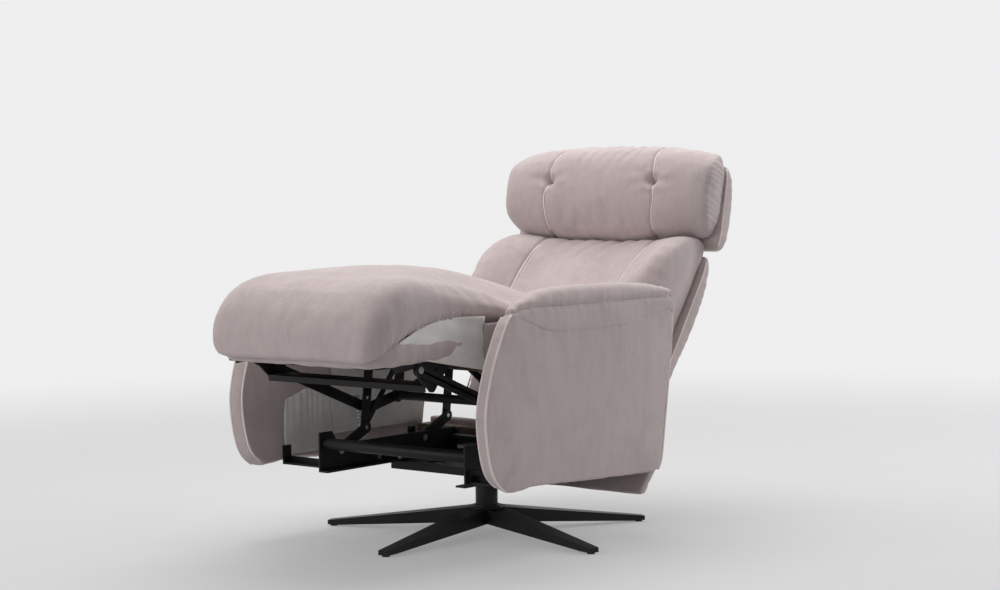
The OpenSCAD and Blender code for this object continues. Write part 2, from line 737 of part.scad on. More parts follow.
// White cloth that closes the sides of the seat below the cushion
seat_skirt_h = 84;
seat_skirt_l = 330;
module seat_lining() {
    color("#dedcd8") on_seat() both_sides()
        translate([skirt_half_w, 0, -seat_skirt_h]) cube([cloth_t, seat_skirt_l, seat_skirt_h]);
}

// Seat cushion, drawn in upright cross-sections from the legrest to the back and dished towards the back
seat_rear_y = 255;
seat_steps = 12;
seat_top_share = [[0, 1], [0.2, 0.99], [0.5, 0.94], [0.74, 0.86], [0.9, 0.7], [1, 0.5]];
dish_share = [[0, 0], [0.25, 0.15], [0.55, 0.8], [0.8, 1], [1, 1]];
dish_d = 46;
dish_w = 150;
seat_side_share = 0.42;
function frame_z(y) = frame_front[1] - (y - frame_front[0]) * tan(seat_slope);
module seat_cushion() {
    y0 = frame_front[0];
    rise = legrest_top_z - frame_front[1];
    rings = [
        for (i = [0:seat_steps]) let (
            y = station(i, seat_steps, y0, seat_rear_y),
            u = (y - y0) / (seat_rear_y - y0),
            base = frame_z(y) + soft_gap,
            top = frame_front[1] + rise * lookup(u, seat_top_share),
            d = top - base
        ) crown_ring(y, seat_half_w, -base, d, d * seat_side_share, plain_share, 0, dish_d * lookup(u, dish_share) + run_fit, dish_w)
    ];
    color("#b3a5a5") rotate([-90, 0, 0]) loft(rings);
}

// Crank, drive tube and drive link: the crank stays parallel to the arm of the legrest's bracket
module crank() {
    difference() {
        union() {
            eye_bar(3, crank_axis, crank_end, link_r);
            eye(3, crank_axis, boss_r);
        }
        hole(3, crank_axis, drive_tube_d / 2);
        hole(3, crank_end, pin_r);
    }
}
module crank_left() { color("#1d1d20") crank(); }
module crank_right() { color("#1d1d20") mirror([1, 0, 0]) crank(); }

module drive_tube() {
    half = layer_x(3) + plate_t;
    color("#2a2a2e") side_view(-half, 2 * half) translate(crank_axis) difference() {
        circle(d = drive_tube_d);
        circle(d = drive_tube_d - 2 * tube_wall);
    }
}

module crank_pins() {
    color("#9a9a9e") both_sides() pivot_pin(crank_end, 3, 4, false);
}

module drive_link() {
    difference() {
        eye_bar(4, crank_end, link_end, link_r);
        hole(4, crank_end, pin_r + run_fit);
        hole(4, link_end, pin_r + run_fit);
    }
}
module drive_link_left() { color("#1d1d20") drive_link(); }
module drive_link_right() { color("#1d1d20") mirror([1, 0, 0]) drive_link(); }

// Legrest: the board is drawn level and sloped about its hinge
board_z = 9;
board_rear = 18;
board_l = 208;
flange_l = 150;
flange_from = 34;
module on_legrest() {
    translate([0, leg_hinge[0], leg_hinge[1]]) rotate([legrest_slope, 0, 0]) children();
}
module legrest_bracket() {
    difference() {
        union() {
            eye_bar(3, leg_hinge, link_end, link_r);
            eye_bar(3, leg_hinge, crossbar_at, link_r);
            eye_bar(3, link_end, crossbar_at, link_r);
            on_legrest() translate([layer_x(3), -flange_l - flange_from, board_z - eye_r])
                cube([plate_t, flange_l + flange_from - board_rear, eye_r]);
            on_legrest() translate([layer_x(3) - eye_r, -flange_from - flange_l, board_z - plate_t])
                cube([eye_r + plate_t, flange_l, plate_t]);
        }
        hole(3, leg_hinge, pin_r + run_fit);
        hole(3, link_end, pin_r);
    }
}
module legrest_bracket_left() { color("#1d1d20") legrest_bracket(); }
module legrest_bracket_right() { color("#1d1d20") mirror([1, 0, 0]) legrest_bracket(); }

bar_w = 44;
bar_h = 20;
module legrest_crossbar() {
    color("#4c4c50") side_view(-layer_x(3), 2 * layer_x(3)) translate(crossbar_at) rotate([0, 0, legrest_slope]) {
        translate([-bar_w / 2, 0]) square([bar_w, plate_t]);
        translate([-bar_w / 2, -bar_h / 2]) square([plate_t, bar_h / 2 + plate_t]);
    }
}

module legrest_pins() {
    color("#9a9a9e") both_sides() pivot_pin(link_end, 3, 4, false);
}

board_corner_r = 30;
module legrest_board() {
    color("#c9a878") on_legrest() translate([0, -board_rear, board_z]) linear_extrude(legrest_board_t) union() {
        translate([-legrest_board_half_w, board_corner_r - board_l])
            square([2 * legrest_board_half_w, board_l - board_corner_r]);
        translate([board_corner_r - legrest_board_half_w, -board_l])
            square([2 * (legrest_board_half_w - board_corner_r), board_corner_r]);
        for (sx = [-1, 1]) translate([sx * (legrest_board_half_w - board_corner_r), board_corner_r - board_l])
            circle(board_corner_r);
    }
}

// Legrest cushion, drawn in upright cross-sections from its rounded front to the seat.
// The underside is a roll in front of the board and rests on the board behind that.
legrest_steps = 14;
legrest_top_share = [[0, 0.3], [0.06, 0.53], [0.14, 0.68], [0.28, 0.83], [0.45, 0.92], [0.7, 0.98], [1, 1]];
legrest_roll_l = 42;
legrest_side_share = 0.4;
legrest_nose_share = 0.86;
legrest_least_share = 0.35;
function board_top_z(y) =
    leg_hinge[1] + (board_z + legrest_board_t) / cos(legrest_slope) + (y - leg_hinge[0]) * tan(legrest_slope);
module legrest_cushion() {
    y1 = frame_front[0] - 1.5 * soft_gap;
    edge_y = leg_hinge[0] - (board_rear + board_l) * cos(legrest_slope)
        - (board_z + legrest_board_t) * sin(legrest_slope) - soft_gap;
    low_z = board_top_z(legrest_front_y);
    stations = concat(
        [for (i = [0:3]) legrest_front_y + (edge_y - legrest_front_y) * (1 - cos(90 * i / 3))],
        [for (i = [0:legrest_steps - 4]) station(i, legrest_steps - 4, edge_y + soft_gap / 2, y1)]
    );
    rings = [
        for (y = stations) let (
            u = (y - legrest_front_y) / (y1 - legrest_front_y),
            nose = end_share(y, legrest_front_y, y1 + legrest_roll_l, legrest_roll_l, 1),
            full = max(nose, legrest_least_share),
            under = y > edge_y ? -soft_gap : legrest_board_t * full,
            base = board_top_z(y) - under,
            top = low_z + (legrest_top_z - low_z) * lookup(u, legrest_top_share) * full,
            d = top - base,
            w = legrest_half_w * (legrest_nose_share + (1 - legrest_nose_share) * nose)
        ) crown_ring(y, w, -base, d, d * legrest_side_share, plain_share, 0, 0, 1)
    ];
    color("#b3a5a5") rotate([-90, 0, 0]) loft(rings);
}

// Back, drawn upright and leaned about its hinge
back_base_y = 106;
post_w = 26;
post_x = layer_x(3) - post_w;
post_t = 15;
post_low_z = -18;
post_top_gap = 36;
post_top_z = back_h - post_top_gap;
back_rail_h = 46;
module on_back() {
    translate([0, back_hinge[0], back_hinge[1]]) rotate([-back_lean, 0, 0]) children();
}
module back_bracket() {
    foot = [back_base_y + post_t / 2, 0];
    difference() {
        on_back() union() {
            eye_bar(3, [0, 0], foot, link_r);
            eye_bar(3, foot, [foot[0], post_top_z / 2], post_t / 2);
        }
        hole(3, back_hinge, pin_r + run_fit);
    }
}
module back_bracket_left() { color("#202024") back_bracket(); }
module back_bracket_right() { color("#202024") mirror([1, 0, 0]) back_bracket(); }

module back_posts() {
    color("#c9a878") on_back() both_sides()
        translate([post_x, back_base_y, post_low_z]) cube([post_w, post_t, post_top_z - post_low_z]);
}
module back_rails() {
    color("#c9a878") on_back() for (z = [post_low_z, (post_top_z - back_rail_h) / 2, post_top_z - back_rail_h])
        translate([-post_x, back_base_y, z]) cube([2 * post_x, post_t, back_rail_h]);
}

// Back cushion: three panels with two sewn seams
back_low_z = 20;
back_steps = 15;
back_crown_share = [[0, 0.6], [0.1, 0.86], [0.22, 0.98], [0.34, 1], [0.5, 0.93], [0.66, 0.79], [0.82, 0.63], [1, 0.47]];
back_least_share = 0.8;
back_width_share = [[0, 0.93], [0.2, 0.98], [0.5, 1], [0.85, 0.98], [1, 0.92]];
back_side_share = 0.45;
back_end_r = 34;
module back_cushion() {
    z1 = back_low_z + back_h;
    rings = [
        for (i = [0:back_steps]) let (
            z = station(i, back_steps, back_low_z, z1),
            u = (z - back_low_z) / back_h,
            d = back_crown * lookup(u, back_crown_share) * max(back_least_share, end_share(z, back_low_z, z1, back_end_r, back_end_r)),
            w = back_half_w * lookup(u, back_width_share)
        ) crown_ring(z, w, back_base_y - soft_gap, d, d * back_side_share, seamed_share(seam_x / back_half_w), seam_x / w, seam_d, 14)
    ];
    color("#b3a5a5") on_back() loft(rings);
}

// Rear shells: arched casings whose rims meet the cushions, closed at one end by a plate
shell_steps = 10;
shell_across_share = [0, 0.3, 0.6, 0.82, 0.94, 1];
shell_wall = 8;
shell_corner_share = 0.06;
function arch(u) = sqrt(1 - pow(u, 4));
function shell_arc(w, y, d, z) = [
    for (i = [1 - len(shell_across_share):len(shell_across_share) - 1]) let (u = sign(i) * shell_across_share[abs(i)])
        [u * w, y + d * arch(u), z]
];
function backwards(points) = [for (i = [len(points) - 1:-1:0]) points[i]];
function shell_ring(z, w, y, d, hollow) =
    concat(shell_arc(w, y, d, z), backwards(shell_arc(w - shell_wall, y, hollow ? d - shell_wall : plate_dish, z)));
plate_dish = 2;
module shell(w, y, depth, low, h, depth_share, plate_at_top) {
    plate = [0, shell_wall];
    ends = [for (e = plate) plate_at_top ? h - e : e];
    middle = [for (i = [0:shell_steps]) station(i, shell_steps, plate_at_top ? 0 : shell_wall + soft_gap, plate_at_top ? h - shell_wall - soft_gap : h)];
    heights = plate_at_top ? concat(middle, backwards(ends)) : concat(ends, middle);
    loft([
        for (e = heights) let (
            round_share = 1 - shell_corner_share * (1 - end_share(e, 0, h, h / 5, h / 5)),
            solid = plate_at_top ? e > h - shell_wall - soft_gap / 2 : e < shell_wall + soft_gap / 2
        ) shell_ring(low + e, w * round_share, y, depth * lookup(e / h, depth_share), !solid)
    ], true);
}
shell_low_z = -40;
shell_top_gap = 20;
shell_h = back_low_z + back_h - shell_top_gap - shell_low_z;
back_shell_share = [[0, 0.58], [0.25, 0.77], [0.45, 0.9], [0.65, 1], [0.82, 0.84], [1, 0.52]];
shell_half_w = 300;
module back_shell() {
    color("#a99b9b") on_back() shell(shell_half_w, back_base_y, back_shell_d, shell_low_z, shell_h, back_shell_share, false);
}

// Headrest, drawn upright and leaned about its hinge
headrest_arm_x = 104;
headrest_arm_w = 24;
headrest_arm_t = 4;
headrest_arm_h = 170;
headrest_pin_r = 4;
headrest_ear_r = 9;
headrest_ear_t = 5;
headrest_base_y = -4;
hinge_step = 1;
hinge_rise = 6;
headrest_hinge = back_hinge
    + turned([back_base_y + headrest_ear_r + hinge_step, back_low_z + back_h + hinge_rise], -back_lean);
module on_headrest() {
    translate([0, headrest_hinge[0], headrest_hinge[1]]) rotate([-headrest_lean, 0, 0]) children();
}
// Hinge leaves standing on the top rail of the back, with an ear on each side of every arm
module headrest_hinges() {
    at = turned(headrest_hinge - back_hinge, back_lean);
    leaf_r = waist_share * headrest_ear_r;
    color("#3a3a3e") both_sides() difference() {
        on_back() for (x = [headrest_arm_x - headrest_ear_t - run_fit, headrest_arm_x + headrest_arm_w + run_fit]) {
            disc(x, headrest_ear_t, at, headrest_ear_r);
            translate([x, at[0] - leaf_r, post_top_z]) cube([headrest_ear_t, 2 * leaf_r, at[1] - post_top_z]);
        }
        disc(headrest_arm_x - headrest_arm_w, 3 * headrest_arm_w, headrest_hinge, headrest_pin_r + run_fit);
    }
}

module headrest_arms() {
    color("#8a8a8e") both_sides() {
        on_headrest() {
            disc(headrest_arm_x, headrest_arm_w, [0, 0], headrest_ear_r);
            translate([headrest_arm_x, headrest_base_y, 0]) cube([headrest_arm_w, headrest_arm_t, headrest_arm_h]);
            disc(headrest_arm_x - headrest_ear_t - 2 * run_fit, headrest_arm_w + 2 * headrest_ear_t + 4 * run_fit,
                [0, 0], headrest_pin_r);
        }
    }
}

headrest_steps = 15;
headrest_low_z = 26;
headrest_crown_share = [[0, 0.7], [0.12, 0.88], [0.3, 0.98], [0.45, 1], [0.62, 0.97], [0.8, 0.88], [0.92, 0.76], [1, 0.62]];
headrest_least_share = 0.6;
headrest_width_share = [[0, 0.95], [0.15, 0.985], [0.5, 1], [0.8, 0.975], [1, 0.9]];
headrest_end_r = 46;
headrest_side_share = 0.4;
tuft_share = 0.6;
module headrest_cushion() {
    z1 = headrest_low_z + headrest_h;
    rings = [
        for (i = [0:headrest_steps]) let (
            z = station(i, headrest_steps, headrest_low_z, z1),
            u = (z - headrest_low_z) / headrest_h,
            d = headrest_crown * lookup(u, headrest_crown_share) * max(headrest_least_share, end_share(z, headrest_low_z, z1, headrest_end_r / 2, headrest_end_r)),
            w = headrest_half_w * lookup(u, headrest_width_share),
            pinch = seam_d * (1 + 0.9 * exp(-pow((u - tuft_share) * 9, 2)))
        ) crown_ring(z, w, headrest_base_y - soft_gap, d, d * headrest_side_share, seamed_share(seam_x / headrest_half_w), seam_x / w, pinch, 15)
    ];
    color("#b8abab") on_headrest() loft(rings);
}

headrest_shell_low_z = 14;
headrest_shell_h = 216;
headrest_shell_half_w = 316;
headrest_shell_share = [[0, 0.78], [0.12, 0.94], [0.4, 1], [0.7, 0.96], [0.88, 0.78], [1, 0.42]];
module headrest_shell() {
    color("#a99b9b") on_headrest()
        shell(headrest_shell_half_w, headrest_base_y, headrest_shell_d, headrest_shell_low_z, headrest_shell_h,
            headrest_shell_share, true);
}

star_base();
foot_glides();
column_tube();
column_bush();
swivel_hub();
swivel_plate();
swivel_bolts();
side_rail_left();
side_rail_right();
front_cross_tube();
rear_cross_tube();
rail_pins();
arm_bracket_left();
arm_bracket_right();
arm_board_left();
arm_board_right();
arm_cover_left();
arm_cover_right();
arm_pad_left();
arm_pad_right();
arm_lining_left();
arm_lining_right();
rear_board();
rear_apron();
assist_spring_left();
assist_spring_right();
front_lift_link_left();
front_lift_link_right();
rear_lift_link_left();
rear_lift_link_right();
seat_plate_left();
seat_plate_right();
seat_cross_rails();
seat_side_rails();
seat_wires();
seat_pins();
seat_lining();
seat_cushion();
crank_left();
crank_right();
drive_tube();
crank_pins();
drive_link_left();
drive_link_right();
legrest_bracket_left();
legrest_bracket_right();
legrest_crossbar();
legrest_board();
legrest_pins();
legrest_cushion();
back_bracket_left();
back_bracket_right();
back_posts();
back_rails();
back_cushion();
back_shell();
headrest_hinges();
headrest_arms();
headrest_cushion();
headrest_shell();
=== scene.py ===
"""Upholstery, finishes and studio for a star base swivel recliner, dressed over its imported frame.

Everything is in metres in the frame of the solids: +Z is up, the chair faces -Y, +X is the sitter's left.
"""

import json
import math
from collections import namedtuple

import bmesh
import bpy
import numpy as np
from bpy.props import FloatProperty, FloatVectorProperty, IntProperty, PointerProperty
from mathutils import Matrix, Vector, noise
from mathutils.bvhtree import BVHTree


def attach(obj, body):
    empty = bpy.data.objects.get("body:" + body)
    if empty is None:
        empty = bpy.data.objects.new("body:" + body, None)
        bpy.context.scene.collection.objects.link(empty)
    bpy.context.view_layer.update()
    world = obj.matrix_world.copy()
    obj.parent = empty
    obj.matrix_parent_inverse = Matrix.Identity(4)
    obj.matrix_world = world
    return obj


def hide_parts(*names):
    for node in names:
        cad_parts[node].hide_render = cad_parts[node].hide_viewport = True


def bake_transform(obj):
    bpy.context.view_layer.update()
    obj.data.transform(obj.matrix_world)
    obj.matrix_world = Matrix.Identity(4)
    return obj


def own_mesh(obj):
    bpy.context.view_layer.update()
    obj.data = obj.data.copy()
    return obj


bl_info = {
    "name": "Swivel recliner upholstery",
    "version": (1, 0, 0),
    "blender": (4, 5, 0),
    "location": "3D View > Sidebar > Recliner",
    "description": "Cushions, covers, piping, finishes and studio for a star base swivel recliner",
    "category": "Object",
}

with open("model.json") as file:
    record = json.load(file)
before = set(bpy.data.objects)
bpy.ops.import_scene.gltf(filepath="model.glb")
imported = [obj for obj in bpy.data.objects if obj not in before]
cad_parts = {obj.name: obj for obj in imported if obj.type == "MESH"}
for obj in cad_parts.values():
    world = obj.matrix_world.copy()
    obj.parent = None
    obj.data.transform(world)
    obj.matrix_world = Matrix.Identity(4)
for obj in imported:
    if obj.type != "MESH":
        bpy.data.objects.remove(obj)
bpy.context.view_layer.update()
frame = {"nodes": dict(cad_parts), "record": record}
NODES = frame["nodes"]
SIDES = (("left", 1), ("right", -1))


class ReclinerSizes(bpy.types.PropertyGroup):
    """Sizes of the sewn work."""

    piping_radius: FloatProperty(
        name="Piping radius", description="Radius of the sewn piping",
        default=0.0023, min=0.001, max=0.004, unit="LENGTH")
    seam_depth: FloatProperty(
        name="Seam depth", description="How far a seam draws a cushion in",
        default=0.0065, min=0.002, max=0.02, unit="LENGTH")
    seam_width: FloatProperty(
        name="Seam width", description="Half width of the groove along a seam",
        default=0.0042, min=0.003, max=0.02, unit="LENGTH")
    swell: FloatProperty(
        name="Swell", description="Furthest that a cushion may swell out of its pattern",
        default=0.024, min=0.005, max=0.03, unit="LENGTH")
    pressure: FloatProperty(
        name="Pressure", description="Pressure of the filling on the cover", default=4.0, min=0.5, max=8.0)
    cushion_voxel: FloatProperty(
        name="Cushion mesh", description="Mesh size of a cushion before it swells",
        default=0.006, min=0.004, max=0.012, unit="LENGTH")
    cover_voxel: FloatProperty(
        name="Cover mesh", description="Mesh size of the covered boards",
        default=0.0048, min=0.003, max=0.01, unit="LENGTH")
    cloth_thickness: FloatProperty(
        name="Dust cloth", description="Thickness of the dust cloth",
        default=0.0012, min=0.0005, max=0.003, unit="LENGTH")
    swell_steps: IntProperty(
        name="Swell steps", description="Steps of the cushion simulation", default=20, min=5, max=40)


class ReclinerColours(bpy.types.PropertyGroup):
    """Colours of the finishes."""

    suede: FloatVectorProperty(
        name="Suede", description="Colour of the napped cover",
        subtype="COLOR", size=3, default=(0.505, 0.432, 0.426), min=0, max=1)
    # The piping colour is lighter than the suede: a painted highlight along the piping beads
    piping: FloatVectorProperty(
        name="Piping", description="Colour of the piping",
        subtype="COLOR", size=3, default=(0.82, 0.735, 0.72), min=0, max=1)
    dust_cloth: FloatVectorProperty(
        name="Dust cloth", description="Colour of the dust cloth",
        subtype="COLOR", size=3, default=(0.87, 0.86, 0.825), min=0, max=1)
    powder_coat: FloatVectorProperty(
        name="Powder coat", description="Colour of the base and the frame",
        subtype="COLOR", size=3, default=(0.007, 0.007, 0.008), min=0, max=1)
    link_paint: FloatVectorProperty(
        name="Link paint", description="Colour of the moving links",
        subtype="COLOR", size=3, default=(0.008, 0.008, 0.009), min=0, max=1)
    zinc: FloatVectorProperty(
        name="Zinc", description="Colour of the plated pins and bolts",
        subtype="COLOR", size=3, default=(0.5, 0.51, 0.53), min=0, max=1)
    # Plywood in a dark tone
    plywood: FloatVectorProperty(
        name="Plywood", description="Colour of the stained plywood",
        subtype="COLOR", size=3, default=(0.13, 0.09, 0.06), min=0, max=1)


class ReclinerStage(bpy.types.PropertyGroup):
    """Light and floor of the studio."""

    top_lamp: FloatProperty(
        name="Top lamp", description="Power of the soft box above the chair",
        default=62.0, min=0, unit="POWER")
    front_lamp: FloatProperty(
        name="Front lamp", description="Power of the soft box before the chair",
        default=34.0, min=0, unit="POWER")
    rear_lamp: FloatProperty(
        name="Rear lamp", description="Power of the lamp behind the chair",
        default=34.0, min=0, unit="POWER")
    room_light: FloatProperty(
        name="Room light", description="Strength of the even light of the room", default=0.36, min=0, max=2)
    floor_shade: FloatProperty(
        name="Floor shade", description="Shade of the floor", default=0.62, min=0, max=1)
    floor_glow: FloatProperty(
        name="Floor glow", description="Share of the backdrop shade in the floor beside the chair",
        default=0.3, min=0, max=1)
    backdrop_shade: FloatProperty(
        name="Backdrop shade", description="Shade that the camera sees behind the chair",
        default=0.86, min=0, max=1)


def sizes():
    return bpy.context.scene.recliner_sizes


def colours():
    return bpy.context.scene.recliner_colours


# Material nodes

# Sockets of a mix node that take the share and two colours, and the one that gives the blend
MIX_SHARE, MIX_FIRST, MIX_SECOND, MIX_BLEND = 0, 6, 7, 2
WHITE = (1.0, 1.0, 1.0)


class Socket:
    """One value in a material, with arithmetic that adds the nodes it needs."""

    def __init__(self, tree, output):
        self.tree = tree
        self.output = output

    def math(self, operation, first, second):
        node = self.tree.nodes.new("ShaderNodeMath")
        node.operation = operation
        for slot, value in zip(node.inputs, (first, second)):
            if isinstance(value, Socket):
                self.tree.links.new(value.output, slot)
            else:
                slot.default_value = value
        return Socket(self.tree, node.outputs[0])

    def __add__(self, other):
        return self.math("ADD", self, other)

    def __radd__(self, other):
        return self.math("ADD", other, self)

    def __sub__(self, other):
        return self.math("SUBTRACT", self, other)

    def __rsub__(self, other):
        return self.math("SUBTRACT", other, self)

    def __mul__(self, other):
        return self.math("MULTIPLY", self, other)

    def __rmul__(self, other):
        return self.math("MULTIPLY", other, self)


class Finish:
    """A material under construction."""

    def __init__(self, name):
        self.material = bpy.data.materials.new(name)
        self.material.use_nodes = True
        self.tree = self.material.node_tree
        self.tree.nodes.clear()
        self.place = self.node("ShaderNodeTexCoord", output="Object")

    def node(self, kind, settings=None, inputs=None, output=0):
        """Adds a node, makes its settings, then fills its sockets with values or links."""
        node = self.tree.nodes.new(kind)
        for key, value in (settings or {}).items():
            setattr(node, key, value)
        for key, value in (inputs or {}).items():
            socket = node.inputs[key]
            if isinstance(value, Socket):
                self.tree.links.new(value.output, socket)
            elif socket.type == "RGBA" and len(value) == 3:
                socket.default_value = (*value, 1)
            else:
                socket.default_value = value
        return Socket(self.tree, node.outputs[output])

    def stretched(self, scale):
        return self.node("ShaderNodeMapping", inputs={"Vector": self.place, "Scale": scale})

    def noise(self, scale, detail=2.0, roughness=0.5, along=None, distortion=0.0):
        return self.node("ShaderNodeTexNoise", inputs={
            "Vector": along or self.place, "Scale": scale, "Detail": detail, "Roughness": roughness,
            "Distortion": distortion})

    def ramp(self, value, colour, *stops):
        """Shades of a colour along a value, from (place, factor) pairs."""
        made = self.node("ShaderNodeValToRGB", inputs={"Fac": value})
        elements = made.output.node.color_ramp.elements
        while len(elements) < len(stops):
            elements.new(0.5)
        for element, (position, factor) in zip(elements, stops):
            element.position = position
            element.color = (*shade(colour, factor), 1)
        return made

    def blend_colour(self, share, first, second):
        inputs = {MIX_SHARE: share, MIX_FIRST: first, MIX_SECOND: second}
        return self.node("ShaderNodeMix", {"data_type": "RGBA"}, inputs, MIX_BLEND)

    def bump(self, height, distance, strength, over=None):
        """Relief of a height, on top of another relief where one is given."""
        inputs = {"Height": height, "Distance": distance, "Strength": strength}
        if over:
            inputs["Normal"] = over
        return self.node("ShaderNodeBump", inputs=inputs)

    def surface(self, colour, roughness, relief, **constants):
        inputs = {"Base Color": colour, "Roughness": roughness, "Normal": relief}
        inputs.update({key.replace("_", " "): value for key, value in constants.items()})
        shader = self.node("ShaderNodeBsdfPrincipled", inputs=inputs)
        out = self.tree.nodes.new("ShaderNodeOutputMaterial")
        self.tree.links.new(shader.output, out.inputs["Surface"])
        return self.material


def shade(colour, factor):
    return tuple(min(1.0, max(0.0, part * factor)) for part in colour)


def suede_finish(name, colour):
    """Soft napped cover, clouded by stroking: short streaks, fine grain and a light bloom at the edges."""
    made = Finish(name)
    clouds = made.noise(9.0, detail=4.0, roughness=0.6, distortion=0.6)
    streaks = made.noise(
        26.0, detail=3.0, roughness=0.62, along=made.stretched((1.5, 1.5, 0.42)), distortion=0.8)
    flecks = made.noise(150.0, detail=3.0, roughness=0.6)
    nap = made.noise(1300.0, roughness=0.6)
    creases = made.noise(60.0, detail=3.0, roughness=0.55, distortion=1.2)
    mottle = clouds * 0.45 + streaks * 0.4 + flecks * 0.15
    tinted = made.ramp(mottle, colour, (0.34, 0.84), (0.5, 1), (0.66, 1.13))
    red, green, blue = colour
    rosy = made.blend_colour(clouds * 0.22, tinted, shade((red * 1.04, green * 0.95, blue * 0.97), 1))
    fibres = made.blend_colour(nap * 0.22, rosy, shade(colour, 1.22))
    fine = made.bump(nap, distance=0.0006, strength=0.35)
    grain = made.bump(creases * 0.6 + flecks * 0.4, distance=0.0016, strength=0.28, over=fine)
    return made.surface(
        fibres, 0.78 + nap * 0.14, grain, Sheen_Weight=0.32, Sheen_Roughness=0.45,
        Sheen_Tint=(0.95, 0.9, 0.9, 1), Specular_IOR_Level=0.22)


def cloth_finish(name, colour):
    """Thin dust cloth with a plain weave, a little soiled."""
    made = Finish(name)
    pattern = {"Vector": made.place, "Scale": 210.0, "Distortion": 0.5}
    across = made.node("ShaderNodeTexWave", {"bands_direction": "Y"}, pattern, "Fac")
    upward = made.node("ShaderNodeTexWave", {"bands_direction": "Z"}, pattern, "Fac")
    weave = across * 0.5 + upward * 0.5
    stains = made.noise(14.0, detail=4.0, roughness=0.6)
    soiled = made.ramp(stains, colour, (0.35, 0.86), (0.55, 1), (0.7, 1.08))
    woven = made.blend_colour(weave * 0.35, soiled, shade(colour, 0.7))
    threads = made.bump(weave, distance=0.0004, strength=0.5)
    return made.surface(woven, 0.9 - weave * 0.08, threads, Sheen_Weight=0.15, Specular_IOR_Level=0.2)


def coat_finish(name, colour, roughness, grain_distance):
    """Powder coat or paint on steel: fine orange peel, dust in places and a few polished rubs."""
    made = Finish(name)
    peel = made.noise(520.0)
    dust = made.noise(18.0, detail=5.0, roughness=0.65)
    rubs = made.noise(70.0, detail=4.0, roughness=0.7, along=made.stretched((1.0, 0.25, 1.0)))
    dusty = made.ramp(dust, colour, (0.45, 1), (0.62, 1.5), (0.8, 2.4))
    worn = made.ramp(rubs, WHITE, (0.6, 0), (0.72, 1))
    tinted = made.blend_colour(worn * 0.35, dusty, shade(colour, 2.6))
    grain = made.bump(peel, distance=grain_distance, strength=0.35)
    return made.surface(tinted, roughness + dust * 0.18, grain, Specular_IOR_Level=0.24)


def zinc_finish(name, colour):
    """Plated steel with a drawn grain and dull spots."""
    made = Finish(name)
    drawn = made.noise(240.0, detail=3.0, roughness=0.6, along=made.stretched((4.0, 1.0, 1.0)))
    spots = made.noise(55.0, detail=4.0, roughness=0.6)
    tinted = made.ramp(spots, colour, (0.35, 0.62), (0.55, 1), (0.75, 1.2))
    return made.surface(
        tinted, 0.24 + drawn * 0.22, made.bump(drawn, distance=0.0002, strength=0.4), Metallic=1.0)


def plywood_finish(name, colour):
    """Dark plywood: long grain and fine pores."""
    made = Finish(name)
    long_grain = made.noise(
        30.0, detail=5.0, roughness=0.62, along=made.stretched((0.5, 7.0, 7.0)), distortion=0.4)
    pores = made.noise(300.0, roughness=0.6, along=made.stretched((0.2, 1.5, 1.5)))
    tinted = made.ramp(long_grain, colour, (0.36, 0.68), (0.5, 1), (0.64, 1.22))
    pored = made.blend_colour(pores * 0.4, tinted, shade(colour, 0.72))
    grain = made.bump(long_grain * 0.6 + pores * 0.4, distance=0.0005, strength=0.4)
    return made.surface(pored, 0.72 + pores * 0.12, grain)


def plastic_finish(name, colour):
    """Moulded plastic with a fine pebble and grey scuffs."""
    made = Finish(name)
    pebble = made.noise(700.0)
    scuffs = made.noise(90.0, detail=4.0, roughness=0.65)
    tinted = made.ramp(scuffs, colour, (0.4, 1), (0.62, 1.35), (0.8, 2.0))
    return made.surface(tinted, 0.5 + scuffs * 0.18, made.bump(pebble, distance=0.0003, strength=0.4))


# For each finish its maker, the colour it takes and, for a coat, its roughness and the depth of its grain
FINISH_MAKERS = {
    "suede": (suede_finish, "suede"),
    # Piping is the suede in a lighter colour, a painted highlight along the beads
    "piping": (suede_finish, "piping"),
    "dust_cloth": (cloth_finish, "dust_cloth"),
    "base_metal": (coat_finish, "powder_coat", 0.36, 0.0002),
    "frame_metal": (coat_finish, "powder_coat", 0.44, 0.0002),
    "link_metal": (coat_finish, "link_paint", 0.4, 0.0001),
    "bright_metal": (zinc_finish, "zinc"),
    "spring_wire": (zinc_finish, "zinc"),
    "board_wood": (plywood_finish, "plywood"),
    "board_lining": (cloth_finish, "powder_coat"),
    "glide_plastic": (plastic_finish, "powder_coat"),
}
FINISHES = {}


def finish_for(name):
    """A finish by its name, made once."""
    if name not in FINISHES:
        maker, colour, *numbers = FINISH_MAKERS[name]
        FINISHES[name] = maker(name, getattr(colours(), colour), *numbers)
    return FINISHES[name]


def dress(piece, finish):
    piece.data.materials.clear()
    piece.data.materials.append(finish_for(finish))


# Shapes of soft work

# Settings of the cloth that a cushion's cover is while it is filled
COVER_CLOTH = {
    "quality": 4, "mass": 0.3, "tension_stiffness": 14, "compression_stiffness": 14, "shear_stiffness": 6,
    "bending_stiffness": 0.6, "use_pressure": True}
SINK_SHARE = 0.2
EVENING_ROUNDS = 8
FAR = 1e9
TINY = 1e-12


def new_piece(name, points, faces):
    """A mesh from points and faces, its faces turned outwards."""
    mesh = bpy.data.meshes.new(name)
    mesh.from_pydata([tuple(map(float, point)) for point in points], [], faces)
    shaped = bmesh.new()
    shaped.from_mesh(mesh)
    bmesh.ops.recalc_face_normals(shaped, faces=shaped.faces)
    shaped.to_mesh(mesh)
    shaped.free()
    piece = bpy.data.objects.new(name, mesh)
    bpy.context.scene.collection.objects.link(piece)
    return piece


def loft(name, rings):
    """Closed solid through rings of equal counts."""
    rings = np.array(rings, float)
    count, around, _ = rings.shape
    faces = []
    for i in range(count - 1):
        for j in range(around):
            k = (j + 1) % around
            faces.append((i * around + j, i * around + k, (i + 1) * around + k, (i + 1) * around + j))
    faces.append(tuple(range(around))[::-1])
    faces.append(tuple((count - 1) * around + j for j in range(around)))
    return new_piece(name, rings.reshape(-1, 3), faces)


